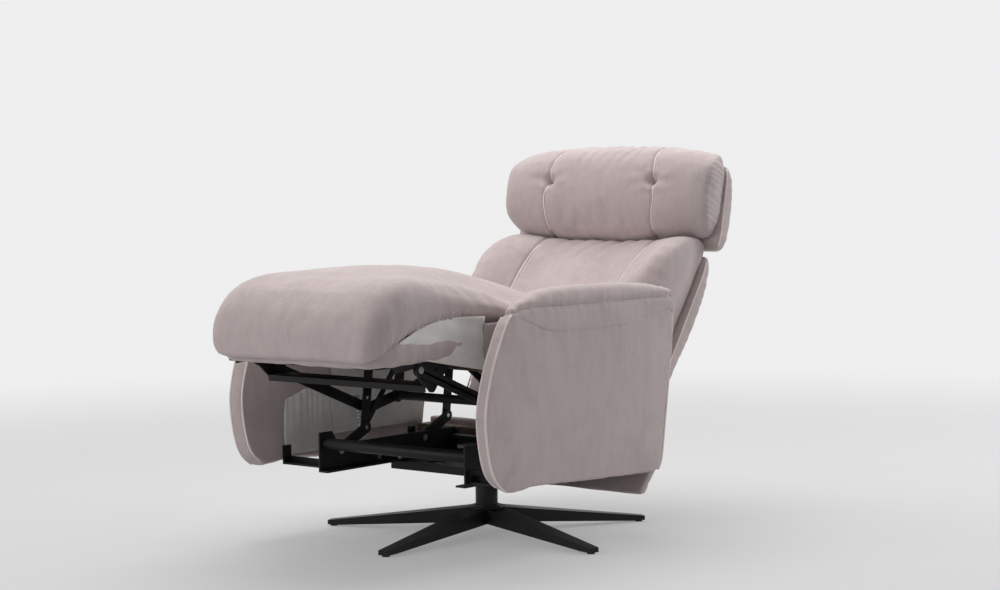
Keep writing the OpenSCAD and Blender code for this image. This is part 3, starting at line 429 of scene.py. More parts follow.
def finish_modifier(piece, kind, **settings):
    """Adds one modifier and applies it."""
    modifier = piece.modifiers.new(kind.title(), kind)
    for key, value in settings.items():
        setattr(modifier, key, value)
    for other in bpy.context.selected_objects:
        other.select_set(False)
    bpy.context.view_layer.objects.active = piece
    piece.select_set(True)
    bpy.ops.object.modifier_apply(modifier=modifier.name)
    piece.select_set(False)


def evened(piece, voxel, smoothing):
    """Gives a piece an even mesh, and smooths it a number of times."""
    finish_modifier(piece, "REMESH", mode="VOXEL", voxel_size=voxel, adaptivity=0.0)
    finish_modifier(piece, "SMOOTH", factor=0.5, iterations=smoothing)


def read(items, field, width=3, kind=float):
    """One row of numbers for each item of a mesh."""
    values = np.empty(len(items) * width, kind)
    items.foreach_get(field, values)
    return values.reshape(-1, width)


def places(piece):
    return read(piece.data.vertices, "co")


def normals(piece):
    return read(piece.data.vertex_normals, "vector")


def move_to(piece, co):
    piece.data.vertices.foreach_set("co", np.ascontiguousarray(co, float).ravel())
    piece.data.update()


def press(piece, shape):
    """Moves every point along its normal by shape(points, normals)."""
    co, no = places(piece), normals(piece)
    move_to(piece, co + no * shape(co, no)[:, None])


def evened_out(piece, values):
    """Values at the points of a piece, drawn towards those of their neighbours."""
    a, b = read(piece.data.edges, "vertices", 2, int).T
    count = np.bincount(a, minlength=len(values)) + np.bincount(b, minlength=len(values))
    for _ in range(EVENING_ROUNDS):
        near = np.bincount(a, values[b], len(values)) + np.bincount(b, values[a], len(values))
        values = (values + near / np.maximum(count, 1)) / 2
    return values


def swollen(piece, limit):
    """Fills a cushion's cover with cloth simulation, up to a limit, then smooths it by one subdivision."""
    size = sizes()
    start = places(piece)
    cloth = piece.modifiers.new("Cloth", "CLOTH")
    for key, value in COVER_CLOTH.items():
        setattr(cloth.settings, key, value)
    cloth.settings.uniform_pressure_force = size.pressure
    cloth.settings.effector_weights.gravity = 0
    cloth.point_cache.frame_start = 1
    cloth.point_cache.frame_end = size.swell_steps
    for step in range(1, size.swell_steps + 1):
        bpy.context.scene.frame_set(step)
    ready = piece.evaluated_get(bpy.context.evaluated_depsgraph_get())
    filled = read(ready.to_mesh().vertices, "co")
    ready.to_mesh_clear()
    piece.modifiers.remove(cloth)
    bpy.context.scene.frame_set(1)
    outward = normals(piece)
    moved = ((filled - start) * outward).sum(axis=1)
    moved = evened_out(piece, np.where(moved > 0, limit * np.tanh(moved / limit), SINK_SHARE * moved))
    move_to(piece, start + outward * moved[:, None])
    finish_modifier(piece, "SMOOTH", factor=0.5, iterations=2)
    finish_modifier(piece, "SUBSURF", levels=1, render_levels=1)


def profile(share, at):
    """Smooth line through (place, height) pairs."""
    x, y = np.array(share, float).T
    at = np.asarray(at, float)
    slope = np.gradient(y, x)
    i = np.clip(np.searchsorted(x, at) - 1, 0, len(x) - 2)
    width = x[i + 1] - x[i]
    t = np.clip((at - x[i]) / width, 0, 1)
    rise = (2 * t**3 - 3 * t**2 + 1) * y[i] + (3 * t**2 - 2 * t**3) * y[i + 1]
    return rise + width * ((t**3 - 2 * t**2 + t) * slope[i] + (t**3 - t**2) * slope[i + 1])


def spline(points, steps, closed=False):
    """Smooth line through points, with a number of steps between neighbours."""
    points = np.array(points, float)
    if closed:
        padded = np.vstack([points[-1], points, points[0], points[1]])
        spans = len(points)
    else:
        padded = np.vstack([2 * points[0] - points[1], points, 2 * points[-1] - points[-2]])
        spans = len(points) - 1
    t = (np.arange(steps) / steps)[:, None]
    parts = []
    for i in range(spans):
        a, b, c, d = padded[i : i + 4]
        curve = 2 * b + (c - a) * t + (2 * a - 5 * b + 4 * c - d) * t**2 + (3 * b - a - 3 * c + d) * t**3
        parts.append(0.5 * curve)
    if not closed:
        parts.append(points[-1:])
    return np.vstack(parts)


def crowded_ends(steps):
    """Places from 0 to 1 that lie closer together at both ends."""
    return (1 - np.cos(np.pi * np.arange(steps + 1) / steps)) / 2


def crowded_sides(count):
    """Places from -1 to 1 that lie closer together at both sides."""
    return np.sin(np.linspace(-np.pi / 2, np.pi / 2, count))


def boxy_arch(across, flatness, root):
    """Arch from side to side that is 1 over its middle and falls to 0 at its sides."""
    return np.clip(1 - np.abs(across) ** flatness, 0, 1) ** root


def rounded_end(near_end):
    """Rise along a quarter circle, from 0 at an end to 1 where its rounding stops."""
    return math.sqrt(1 - (1 - np.clip(near_end, 0, 1)) ** 2)


def bell(value):
    """One in the middle of a groove or a dent, fading to zero beside it."""
    return np.exp(-(value**2))


def gathered(along, pitch, wander, rate):
    """Wave along a line whose pitch wanders, as in gathered cloth."""
    return np.sin(2 * np.pi * along / pitch + wander * np.sin(along * rate))


def headings(line):
    """Way ahead at each point of a line."""
    ahead = np.gradient(line, axis=0)
    return ahead / (np.linalg.norm(ahead, axis=1, keepdims=True) + TINY)


def near_line(flat, line):
    """Distance of each flat point to a line, how far along it the nearest place is, and its length."""
    best = np.full(len(flat), FAR)
    along = np.zeros(len(flat))
    run = 0.0
    for a, b in zip(line[:-1], line[1:]):
        step = b - a
        length = np.linalg.norm(step) + TINY
        t = np.clip((flat - a) @ step / length**2, 0, 1)
        away = np.linalg.norm(flat - a - t[:, None] * step, axis=1)
        closer = away < best
        best[closer] = away[closer]
        along[closer] = run + t[closer] * length
        run += length
    return best, along, run


def sewn(flat, line, depth, width, pucker, pitch):
    """Groove of a sewn seam in a wide hollow, with rolled lips and small puckers across it."""
    away, along, _ = near_line(flat, line)
    groove = -depth * bell(away / width)
    hollow = -0.55 * depth * bell(away / (4.5 * width))
    lips = 0.1 * depth * bell((away - 2.6 * width) / (1.5 * width))
    wave = np.sin(2 * np.pi * along / pitch + 1.7 * np.sin(2 * np.pi * along / (2.7 * pitch)))
    return groove + hollow + lips + pucker * wave * bell((away - 1.6 * width) / (2.2 * width))


def crease(flat, start, end, depth, width):
    """A slightly bent fold with raised lips that is deep at its start and fades to its end."""
    start, end = np.array(start, float), np.array(end, float)
    bent = (start + end) / 2 + 0.06 * np.array([end[1] - start[1], start[0] - end[0]])
    away, along, run = near_line(flat, spline([start, bent, end], 4))
    fade = np.clip(1 - along / run, 0, 1)
    return -depth * fade * (bell(away / width) - 0.45 * bell((away - 2 * width) / width))


def creased(flat, folds, width):
    """Folds of one width together, each from its start, its end and its depth."""
    return sum(crease(flat, start, end, depth, width) for start, end, depth in folds)


def rolling(co, amount, size, seed):
    """Soft unevenness of filled work."""
    shift = Vector((seed * 3.1, seed * 1.7, seed * 2.3))
    return amount * np.array([noise.noise(Vector(point) / size + shift) for point in co])


def tube(name, path, radius, sides=8):
    """Round bead along a path, closed at both ends."""
    path = np.array(path, float)
    ahead = headings(path)
    side = np.cross(ahead[0], (0.31, 0.22, 0.93))
    turn = np.arange(sides) * 2 * np.pi / sides
    rings = []
    for point, way in zip(path, ahead):
        side = side - way * (side @ way)
        side /= np.linalg.norm(side)
        up = np.cross(way, side)
        rings.append(point + radius * (np.outer(np.cos(turn), side) + np.outer(np.sin(turn), up)))
    piece = loft(name, rings)
    piece.data.shade_smooth()
    return piece


def laid_on(piece, starts, way, lift):
    """Points where rays from starts meet a piece, lifted off its surface."""
    mesh = piece.data
    tree = BVHTree.FromPolygons([v.co for v in mesh.vertices], [p.vertices for p in mesh.polygons])
    found = []
    for start in starts:
        place, normal, _, _ = tree.ray_cast(Vector(start), Vector(way))
        if place is not None:
            found.append(np.array(place + normal * lift))
    if len(found) < 4:
        raise RuntimeError(f"the piping on {piece.name} misses it")
    return np.array(found)


def softened(path, rounds=3):
    """A path with its kinks drawn out."""
    path = np.array(path)
    for _ in range(rounds):
        path[1:-1] = (path[:-2] + 2 * path[1:-1] + path[2:]) / 4
    return path


def placed(piece, matrix):
    """Moves the mesh of a piece to its place, with smooth shading."""
    piece.data.transform(matrix)
    piece.data.update()
    piece.data.shade_smooth()


def mirrored(piece):
    """A copy of a left piece for the right side of the chair."""
    mesh = piece.data.copy()
    mesh.transform(Matrix.Diagonal((-1, 1, 1, 1)))
    mesh.flip_normals()
    other = bpy.data.objects.new(piece.name.replace("_left", "_right"), mesh)
    bpy.context.scene.collection.objects.link(other)
    return other


def leaned(hinge, degrees):
    """Place of parts that are drawn upright and lean back about a hinge across the chair."""
    return Matrix.Translation((0, hinge[0], hinge[1])) @ Matrix.Rotation(math.radians(-degrees), 4, "X")


# Back and headrest, drawn upright in their own frames: the front towards -Y, the hinge at the origin

BACK_HINGE = (0.235, 0.400)
BACK_LEAN = 35.6
BACK_BASE_Y = 0.116
BACK_LOW_Z = 0.004
BACK_TOP_Z = 0.450
BACK_DIP = 0.020
BACK_FALL = 0.006
BACK_HALF_W = 0.302
BACK_CROWN = 0.130
BACK_SIDE_SHARE = 0.7
BACK_END_RADIUS = 0.035
BACK_SWELL_SHARE = 0.55
BACK_CROWN_SHARE = [
    (0, 0.5), (0.1, 0.76), (0.22, 0.95), (0.34, 1.0), (0.5, 0.94), (0.66, 0.8), (0.82, 0.63), (1, 0.42)]
BACK_WIDTH_SHARE = [(0, 0.9), (0.2, 0.97), (0.5, 1.0), (0.85, 1.0), (1, 0.985)]
BACK_WING = 0.072
BACK_WING_SHARE = [(0, 0.4), (0.3, 0.85), (0.5, 1.0), (0.78, 0.95), (0.9, 0.6), (1, 0.1)]
WING_ACROSS_SHARE = [(0, 0), (0.45, 0), (0.62, 0.25), (0.78, 0.75), (0.9, 1.0), (1, 0.95)]
BACK_SEAM = [
    (0.150, BACK_LOW_Z - 0.03), (0.157, 0.12), (0.166, 0.24), (0.173, 0.34), (0.178, BACK_TOP_Z + 0.03)]
BACK_PUCKER_PITCH = 0.021
BACK_SEAM_DEEP_BELOW_Z = 0.2
# Folds run from a start to an end, and have a depth at their start
BACK_FOLDS = [
    ((0.02, 0.415), (-0.045, 0.30), 0.0038), ((0.075, 0.42), (0.025, 0.33), 0.0030),
    ((-0.04, 0.42), (-0.09, 0.33), 0.0026), ((0.12, 0.415), (0.085, 0.345), 0.0022),
    ((-0.10, 0.415), (-0.13, 0.35), 0.0020), ((-0.005, 0.425), (-0.02, 0.35), 0.0018),
    ((0.178, 0.13), (0.255, 0.10), 0.0030), ((-0.178, 0.13), (-0.255, 0.10), 0.0030),
    ((0.0, 0.15), (0.06, 0.13), 0.0018),
]
BACK_FOLD_WIDTH = 0.0085
BACK_PIPING_ENDS = (BACK_LOW_Z + 0.03, BACK_TOP_Z - 0.016)
HEADREST_HINGE = (0.58196, 0.68536)
HEADREST_LEAN = 12.0
HEADREST_BASE_Y = -0.004
HEADREST_LOW_Z = 0.014
HEADREST_TOP_Z = 0.271
HEADREST_HALF_W = 0.335
HEADREST_CROWN = 0.106
HEADREST_SIDE_SHARE = 0.76
HEADREST_END_RADIUS = 0.062
HEADREST_SWELL_SHARE = 0.5
HEADREST_CROWN_SHARE = [
    (0, 0.5), (0.12, 0.76), (0.28, 0.94), (0.45, 1.0), (0.62, 0.98), (0.75, 0.91), (0.88, 0.74), (1, 0.48)]
HEADREST_WIDTH_SHARE = [(0, 0.94), (0.15, 0.985), (0.5, 1.0), (0.8, 1.0), (1, 0.965)]
HEADREST_FALL = 0.029
HEADREST_SAG = 0.024
TUFT_X = 0.167
TUFT_Z = 0.157
TUFT_DEPTH = 0.009
TUFT_RADIUS = 0.023
TUFT_PINCH = 0.75
TUFT_PINCH_HEIGHT = 0.022
HEADREST_SEAM = [
    (0.146, HEADREST_TOP_Z + 0.02), (0.160, 0.225), (0.168, 0.185), (TUFT_X, TUFT_Z), (0.175, 0.132),
    (0.176, 0.095), (0.170, 0.05), (0.164, HEADREST_LOW_Z - 0.02)]
HEADREST_PUCKER_PITCH = 0.018
# Ends and depths of the folds that start at a tuft
TUFT_FOLDS = [
    ((0.10, 0.185), 0.0030), ((0.245, 0.162), 0.0042), ((0.215, 0.195), 0.0020), ((0.10, 0.135), 0.0026)]
# Folds from both tufts, then five down from the top edge and five up from the low edge
HEADREST_FOLDS = [
    *(((sign * TUFT_X, TUFT_Z), (sign * x, z), depth) for _, sign in SIDES for (x, z), depth in TUFT_FOLDS),
    *(((-0.05 + 0.035 * i, 0.262), (-0.075 + 0.033 * i, 0.190 - 0.018 * (i % 2)), 0.0024) for i in range(5)),
    *(((-0.11 + 0.05 * i, 0.05), (-0.13 + 0.05 * i, 0.10), 0.0016) for i in range(5)),
]
HEADREST_FOLD_WIDTH = 0.010
HEADREST_PIPING_ENDS = (HEADREST_LOW_Z + 0.012, HEADREST_TOP_Z - 0.004)
GUSSET_GATHER_DEPTH = 0.0006
GUSSET_GATHER_PITCH = 0.017
PATTERN_EASE = 0.006
BASE_GAP = 0.0005
SEAM_STEPS = 8
SEAM_PUCKER = 0.05
PIPING_STAND = 0.9


def cushion_rings(
        low, top, base, crown, half, crown_share, width_share, side_share, end_radius,
        wing=0.0, wing_share=((0, 1), (1, 1)), fall=0.0, sag=0.0, dip=0.0):
    """Cross-sections of a crowned cushion, from its low edge to its top, its front towards -Y.

    Wings stand out along its sides, its top falls towards its corners or dips in the middle, and the middle
    of its low edge sags.
    """
    across = crowded_sides(29)
    arch = boxy_arch(across, flatness=5, root=0.5)
    rings = []
    for z in low + (top - low) * crowded_ends(16):
        u = (z - low) / (top - low)
        rounding = 0.34 + 0.66 * rounded_end(min(z - low, top - z) / end_radius)
        depth = (crown - PATTERN_EASE) * float(profile(crown_share, u)) * rounding
        wide = (half - PATTERN_EASE) * float(profile(width_share, u)) * (0.96 + 0.04 * rounding)
        stand = wing * float(profile(wing_share, u)) * profile(WING_ACROSS_SHARE, np.abs(across))
        front = base - side_share * depth - (1 - side_share) * depth * arch - stand
        outline = [*zip(across, front), *((x, base) for x in (0.985, 0.5, 0.0, -0.5, -0.985))]
        ring = []
        for x, y in outline:
            corner = fall * u**2 * abs(x) ** 3
            hollow = dip * u**4 * (1 - abs(x) ** 2)
            belly = sag * (1 - u) ** 2 * (1 - 1.5 * abs(x) ** 2.5)
            ring.append((x * wide, y, z - corner - hollow - belly))
        rings.append(ring)
    return rings


def filled_pad(name, rings, swell_share, base):
    """A swollen cushion that stays before its base."""
    size = sizes()
    cushion = loft(name, rings)
    evened(cushion, size.cushion_voxel, 3)
    swollen(cushion, size.swell * swell_share)
    co = places(cushion)
    co[:, 1] = np.minimum(co[:, 1], base - BASE_GAP)
    move_to(cushion, co)
    return cushion


def both_seams(seam):
    """Lines of a seam on the left and on the right, from the places of the left one."""
    return [spline([(sign * x, z) for x, z in seam], SEAM_STEPS) for _, sign in SIDES]


def piping_lines(cushion, seams, low, high):
    """Lines of piping that lie on the front of a cushion along its seams, between two heights."""
    lines = []
    for seam in seams:
        starts = [(x, -1.0, z) for x, z in seam if low < z < high]
        lines.append(softened(laid_on(cushion, starts, (0, 1, 0), sizes().piping_radius * PIPING_STAND)))
    return lines


def piping_beads(name, lines, place):
    """Left and right beads of piping, moved with their cushion to its place."""
    beads = []
    for (side, _), line in zip(SIDES, lines):
        bead = tube(f"{name}_{side}", line, sizes().piping_radius)
        placed(bead, place)
        # The lighter piping colour is a painted highlight along the bead
        dress(bead, "piping")
        beads.append(bead)
    return beads


def facing(no, way, sharp=5.0):
    """Share from 0 to 1 of points that face a way."""
    return np.clip(no @ np.array(way, float) * sharp, 0, 1)


class RECLINER_OT_back(bpy.types.Operator):
    """Sew and fill the back cushion: three panels with piped seams and gathers at the top"""

    bl_idname = "recliner.back"
    bl_label = "Back cushion"

    def execute(self, context):
        size = sizes()
        cushion = filled_pad("back_pad", cushion_rings(
            BACK_LOW_Z, BACK_TOP_Z, BACK_BASE_Y, BACK_CROWN, BACK_HALF_W, BACK_CROWN_SHARE, BACK_WIDTH_SHARE,
            BACK_SIDE_SHARE, BACK_END_RADIUS, BACK_WING, BACK_WING_SHARE, fall=BACK_FALL, dip=BACK_DIP),
            BACK_SWELL_SHARE, BACK_BASE_Y)
        seams = both_seams(BACK_SEAM)

        def sewing(co, no):
            flat = co[:, [0, 2]]
            low_part = np.clip((BACK_SEAM_DEEP_BELOW_Z - flat[:, 1]) / BACK_SEAM_DEEP_BELOW_Z, 0, 1)
            depth = size.seam_depth * (0.75 + 0.5 * low_part)
            shift = depth * sum(
                sewn(flat, seam, 1.0, size.seam_width, SEAM_PUCKER, BACK_PUCKER_PITCH) for seam in seams)
            shift = shift + creased(flat, BACK_FOLDS, BACK_FOLD_WIDTH)
            front = facing(no, (0, -1, 0.12), sharp=4.0)
            uneven = rolling(co, amount=0.0022, size=0.11, seed=1)
            uneven += rolling(co, amount=0.0009, size=0.04, seed=2)
            return shift * front + uneven

        press(cushion, sewing)
        lines = piping_lines(cushion, seams, *BACK_PIPING_ENDS)
        place = leaned(BACK_HINGE, BACK_LEAN)
        placed(cushion, place)
        dress(cushion, "suede")
        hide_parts("back_cushion")
        for piece in (cushion, *piping_beads("back_piping", lines, place)):
            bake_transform(piece)
        return {"FINISHED"}


class RECLINER_OT_headrest(bpy.types.Operator):
    """Sew and fill the headrest: three panels with piped seams that two tufts pinch"""

    bl_idname = "recliner.headrest"
    bl_label = "Headrest cushion"

    def execute(self, context):
        size = sizes()
        cushion = filled_pad("headrest_pad", cushion_rings(
            HEADREST_LOW_Z, HEADREST_TOP_Z, HEADREST_BASE_Y, HEADREST_CROWN, HEADREST_HALF_W,
            HEADREST_CROWN_SHARE, HEADREST_WIDTH_SHARE, HEADREST_SIDE_SHARE, HEADREST_END_RADIUS,
            fall=HEADREST_FALL, sag=HEADREST_SAG), HEADREST_SWELL_SHARE, HEADREST_BASE_Y)
        seams = both_seams(HEADREST_SEAM)

        def sewing(co, no):
            flat = co[:, [0, 2]]
            pinch = bell((flat[:, 1] - TUFT_Z) / TUFT_PINCH_HEIGHT)
            depth = size.seam_depth * (0.8 + TUFT_PINCH * pinch)
            shift = depth * sum(
                sewn(flat, seam, 1.0, size.seam_width, SEAM_PUCKER, HEADREST_PUCKER_PITCH) for seam in seams)
            for _, sign in SIDES:
                from_tuft = np.hypot(flat[:, 0] - sign * TUFT_X, flat[:, 1] - TUFT_Z)
                shift = shift - TUFT_DEPTH * bell(from_tuft / TUFT_RADIUS)
            shift = shift + creased(flat, HEADREST_FOLDS, HEADREST_FOLD_WIDTH)
            front = facing(no, (0, -1, 0.15), sharp=4.0)
            gusset = np.clip(np.abs(no[:, 0]) * 4 - 2.6, 0, 1)
            up = co[:, 2]
            wave = np.sin(2 * np.pi * up / GUSSET_GATHER_PITCH + co[:, 1] * 60 + 2 * np.sin(up * 70))
            uneven = rolling(co, amount=0.0020, size=0.09, seed=3)
            uneven += rolling(co, amount=0.0009, size=0.035, seed=4)
            return shift * front + GUSSET_GATHER_DEPTH * wave * gusset + uneven

        press(cushion, sewing)
        lines = piping_lines(cushion, seams, *HEADREST_PIPING_ENDS)
        place = leaned(HEADREST_HINGE, HEADREST_LEAN)
        placed(cushion, place)
        dress(cushion, "suede")
        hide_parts("headrest_cushion")
        for piece in (cushion, *piping_beads("headrest_piping", lines, place)):
            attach(piece, "headrest")
        return {"FINISHED"}


# Rear shells, in the frames of the back and the headrest, each with the solid that it stands for

Shell = namedtuple("Shell", "node half base depth low height depth_share place")
SHELLS = {
    "back": Shell(
        "back_shell", half=0.306, base=BACK_BASE_Y, depth=0.061, low=-0.040, height=0.452,
        depth_share=[(0, 0.56), (0.25, 0.77), (0.45, 0.93), (0.6, 1), (0.8, 0.86), (1, 0.5)],
        place=leaned(BACK_HINGE, BACK_LEAN)),
    "headrest": Shell(
        "headrest_shell", half=0.327, base=HEADREST_BASE_Y, depth=0.058, low=-0.006, height=0.222,
        depth_share=[(0, 0.8), (0.25, 0.97), (0.5, 1), (0.72, 0.95), (0.88, 0.76), (1, 0.5)],
        place=leaned(HEADREST_HINGE, HEADREST_LEAN)),
}
SHELL_CORNER = 0.05
SHELL_END_SHARE = 0.2
SHELL_RIM = 0.012
SHELL_RIM_PIPING_SHARE = (0.04, 0.955)
SHELL_SEAM_INSET = 0.045
SHELL_SEAM_END_INSET = 0.035
SHELL_SEAM_BOW = 0.004
SHELL_PLEAT_DEPTH = 0.0006


def shell_rounding(u):
    """Rise of a shell's rounded ends, from 0 at an end to 1 away from it."""
    return rounded_end(min(u, 1 - u) / SHELL_END_SHARE)


def shell_half(shell, u):
    """Half width of a shell at a share of its height."""
    return shell.half * (1 - SHELL_CORNER * (1 - shell_rounding(u)))


def shell_rings(shell):
    """Cross-sections of an arched rear shell, its back towards +Y."""
    across = crowded_sides(31)
    arch = boxy_arch(across, flatness=8, root=1 / 6)
    rings = []
    for u in crowded_ends(16):
        z = shell.low + shell.height * u
        wide = shell_half(shell, u)
        deep = shell.depth * float(profile(shell.depth_share, u)) * (0.8 + 0.2 * shell_rounding(u))
        ring = [(x * wide, shell.base + SHELL_RIM + (deep - SHELL_RIM) * a, z) for x, a in zip(across, arch)]
        ring += [(x * wide, shell.base, z) for x in (1.0, 0.5, 0.0, -0.5, -1.0)]
        rings.append(ring)
    return rings


def shell_edge(shell, sign):
    """Line of the piping up one side of a shell."""
    return [
        (sign * (shell_half(shell, u) + 0.0005), shell.base + 0.002, shell.low + shell.height * u)
        for u in np.linspace(*SHELL_RIM_PIPING_SHARE, 22)]


def shell_seam(shell):
    """Closed line of the seam round a shell's back, its sides slightly bowed."""
    inner = shell.half - SHELL_SEAM_INSET
    bowed = inner + SHELL_SEAM_BOW
    bottom, top = shell.low + SHELL_SEAM_END_INSET, shell.low + shell.height - SHELL_SEAM_END_INSET
    middle = (bottom + top) / 2
    line = np.array([
        (-inner, bottom), (inner, bottom), (bowed, middle), (inner, top), (-inner, top), (-bowed, middle)])
    return np.vstack([line, line[:1]])


class RECLINER_OT_shells(bpy.types.Operator):
    """Cover the rear shells of the back and the headrest"""

    bl_idname = "recliner.shells"
    bl_label = "Rear shells"

    def cover(self, body, shell):
        size = sizes()
        cover = loft(f"{body}_cover", shell_rings(shell))
        evened(cover, size.cover_voxel * 1.15, 6)
        seam = shell_seam(shell)

        def sewing(co, no):
            rear = facing(no, (0, 1, 0), sharp=3.0)
            shift = sewn(co[:, [0, 2]], seam, depth=0.0032, width=0.0055, pucker=0.0005, pitch=0.03) * rear
            side = np.clip((np.abs(co[:, 0]) - shell.half * 0.9) / (shell.half * 0.08), 0, 1)
            pleats = SHELL_PLEAT_DEPTH * gathered(co[:, 2], pitch=0.031, wander=2.2, rate=41) * side
            uneven = rolling(co, amount=0.0022, size=0.10, seed=5)
            uneven += rolling(co, amount=0.0008, size=0.035, seed=6)
            return shift + pleats + uneven

        press(cover, sewing)
        placed(cover, shell.place)
        dress(cover, "suede")
        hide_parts(shell.node)
        lines = [shell_edge(shell, sign) for _, sign in SIDES]
        for piece in (cover, *piping_beads(f"{body}_rim_piping", lines, shell.place)):
            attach(piece, body)

    def execute(self, context):
        for body, shell in SHELLS.items():
            self.cover(body, shell)
        return {"FINISHED"}


# Seat and legrest

CHAISE_FRONT_Y = -0.664
CHAISE_REAR_Y = 0.306
CHAISE_LOW_Z = 0.460
CHAISE_HIGH_Z = 0.668
# Places between the front and the rear, closer together at both
CHAISE_RING_SHARES = np.concatenate([
    (0, 0.004, 0.012, 0.024, 0.04), np.linspace(0.06, 0.97, 30), (0.985, 1.0)])
CHAISE_CENTRE_SHARE = [
    (0, 0.25), (0.008, 0.48), (0.021, 0.6), (0.05, 0.74), (0.1, 0.85), (0.159, 0.915), (0.232, 0.975),
    (0.2985, 1.005), (0.378, 0.995), (0.448, 0.952), (0.534, 0.885), (0.628, 0.79), (0.733, 0.635),
    (0.806, 0.53), (0.889, 0.452), (1, 0.4)]
CHAISE_SIDE_SHARE = [
    (0, 0.25), (0.008, 0.5), (0.021, 0.63), (0.05, 0.79), (0.085, 0.89), (0.12, 0.935), (0.16, 0.95),
    (0.2, 0.935), (0.27, 0.87), (0.35, 0.8), (0.44, 0.7), (0.505, 0.59), (0.58, 0.51), (0.69, 0.46),
    (0.78, 0.44), (0.88, 0.42), (1, 0.4)]
CHAISE_UNDER_SHARE = [
    (0, 0.13), (0.01, 0.07), (0.03, 0.06), (0.055, 0.11), (0.09, 0.2), (0.15, 0.32), (0.2, 0.385),
    (0.27, 0.43), (0.35, 0.425), (0.5, 0.38), (0.7, 0.25), (1, 0.02)]
CHAISE_WIDTH_SHARE = [
    (0, 0.85), (0.01, 0.902), (0.03, 0.944), (0.06, 0.975), (0.1, 0.993), (0.18, 1.0), (0.3, 1.0),
    (0.42, 1.01), (0.6, 1.048), (0.85, 1.058), (1, 1.04)]
CHAISE_BOLSTER_SHARE = [(0, 0), (0.25, 0.03), (0.5, 0.3), (0.75, 0.88), (0.9, 1.0), (1, 1)]
CHAISE_WIDEST_SHARE = 0.42
CHAISE_EASE = 0.003
CHAISE_SWELL_SHARE = 0.42
CHAISE_HEM_RISE = 0.012
CHAISE_HEM_FRONT_Y = -0.63
CHAISE_HEM_REAR_Y = -0.34
CHAISE_HEM_DEPTH = 0.0022
CHAISE_HEM_WIDTH = 0.016
# Folds on the sides of the legrest: how far each leans, where it starts, and its depth
CORNER_FOLDS = ((0.05, -0.625, 0.006), (0.035, -0.637, 0.005), (0.07, -0.61, 0.0035))
CORNER_FOLD_Z = 0.478
CORNER_FOLD_WIDTH = 0.006
# Folds on the top, at the knee and at the rear: start, end, depth and width
TOP_FOLDS = (
    ((0.262, -0.33), (0.15, -0.43), 0.0012, 0.012), ((0.255, -0.27), (0.12, -0.30), 0.0012, 0.012),
    ((0.20, 0.29), (0.16, 0.16), 0.004, 0.010), ((0.06, 0.30), (0.04, 0.20), 0.003, 0.010))
LEGREST_HALF_W = 0.275


def chaise_place(share, y):
    """Height that a table of shares gives the long cushion at a place along it."""
    along = (np.asarray(y) - CHAISE_FRONT_Y) / (CHAISE_REAR_Y - CHAISE_FRONT_Y)
    return CHAISE_LOW_Z + (CHAISE_HIGH_Z - CHAISE_LOW_Z) * profile(share, along)


def fold_over_hinge(piece):
    """Moves the piece's place into its mesh."""
    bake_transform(piece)


def chaise_rings():
    """Cross-sections of the long cushion, from the legrest's front to the rear of the seat."""
    across = crowded_sides(33)
    bolster = profile(CHAISE_BOLSTER_SHARE, np.abs(across))
    arch, foot = boxy_arch(across, flatness=6, root=0.4), boxy_arch(across, flatness=12, root=0.4)
    rings = []
    for share in CHAISE_RING_SHARES:
        y = CHAISE_FRONT_Y + CHAISE_EASE + share * (CHAISE_REAR_Y - CHAISE_FRONT_Y - CHAISE_EASE)
        centre = float(chaise_place(CHAISE_CENTRE_SHARE, y)) - CHAISE_EASE
        edge = float(chaise_place(CHAISE_SIDE_SHARE, y)) - CHAISE_EASE
        under = float(chaise_place(CHAISE_UNDER_SHARE, y))
        wide = (LEGREST_HALF_W - CHAISE_EASE) * float(profile(CHAISE_WIDTH_SHARE, share))
        top = centre + (edge - centre) * bolster
        middle = under + CHAISE_WIDEST_SHARE * (edge - under)
        upper = middle + (top - middle) * arch
        lower = middle - (middle - under) * foot
        ring = [(x * wide, y, z) for x, z in zip(across, upper)]
        ring += [(x * wide, y, z) for x, z in zip(across[-2:0:-1], lower[-2:0:-1])]
        rings.append(ring)
    return rings


class RECLINER_OT_chaise(bpy.types.Operator):
    """Fill the one long cushion of the seat and the legrest, and sew the gusset on its sides"""

    bl_idname = "recliner.chaise"
    bl_label = "Seat and legrest cushion"

    def execute(self, context):
        size = sizes()
        cushion = loft("chaise_pad", chaise_rings())
        evened(cushion, size.cushion_voxel * 1.1, 3)
        swollen(cushion, size.swell * CHAISE_SWELL_SHARE)
        hem = np.array([
            (y, float(chaise_place(CHAISE_UNDER_SHARE, y)) + CHAISE_HEM_RISE)
            for y in np.linspace(CHAISE_HEM_FRONT_Y, CHAISE_HEM_REAR_Y, 30)])

        def sewing(co, no):
            flat, over = co[:, [1, 2]], co[:, [0, 1]]
            side = np.clip(np.abs(no[:, 0]) * 3 - 0.3, 0, 1)
            away, along, _ = near_line(flat, hem)
            gathers = gathered(along, pitch=0.014, wander=2, rate=170) * bell(away / CHAISE_HEM_WIDTH)
            shift = CHAISE_HEM_DEPTH * gathers * side
            for lean, start, depth in CORNER_FOLDS:
                end = (start + lean * 0.3, CORNER_FOLD_Z + lean)
                shift = shift + crease(flat, (start, CORNER_FOLD_Z), end, depth, CORNER_FOLD_WIDTH) * side
            top = facing(no, (0, 0, 1), sharp=3.0)
            for _, sign in SIDES:
                for (x, y), (end_x, end_y), depth, width in TOP_FOLDS:
                    shift = shift + top * crease(over, (sign * x, y), (sign * end_x, end_y), depth, width)
            uneven = rolling(co, amount=0.0032, size=0.14, seed=7)
            uneven += rolling(co, amount=0.0010, size=0.045, seed=8)
            return shift + uneven

        press(cushion, sewing)
        cushion.data.shade_smooth()
        dress(cushion, "suede")
        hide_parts("seat_cushion", "legrest_cushion")
        fold_over_hinge(cushion)
        return {"FINISHED"}


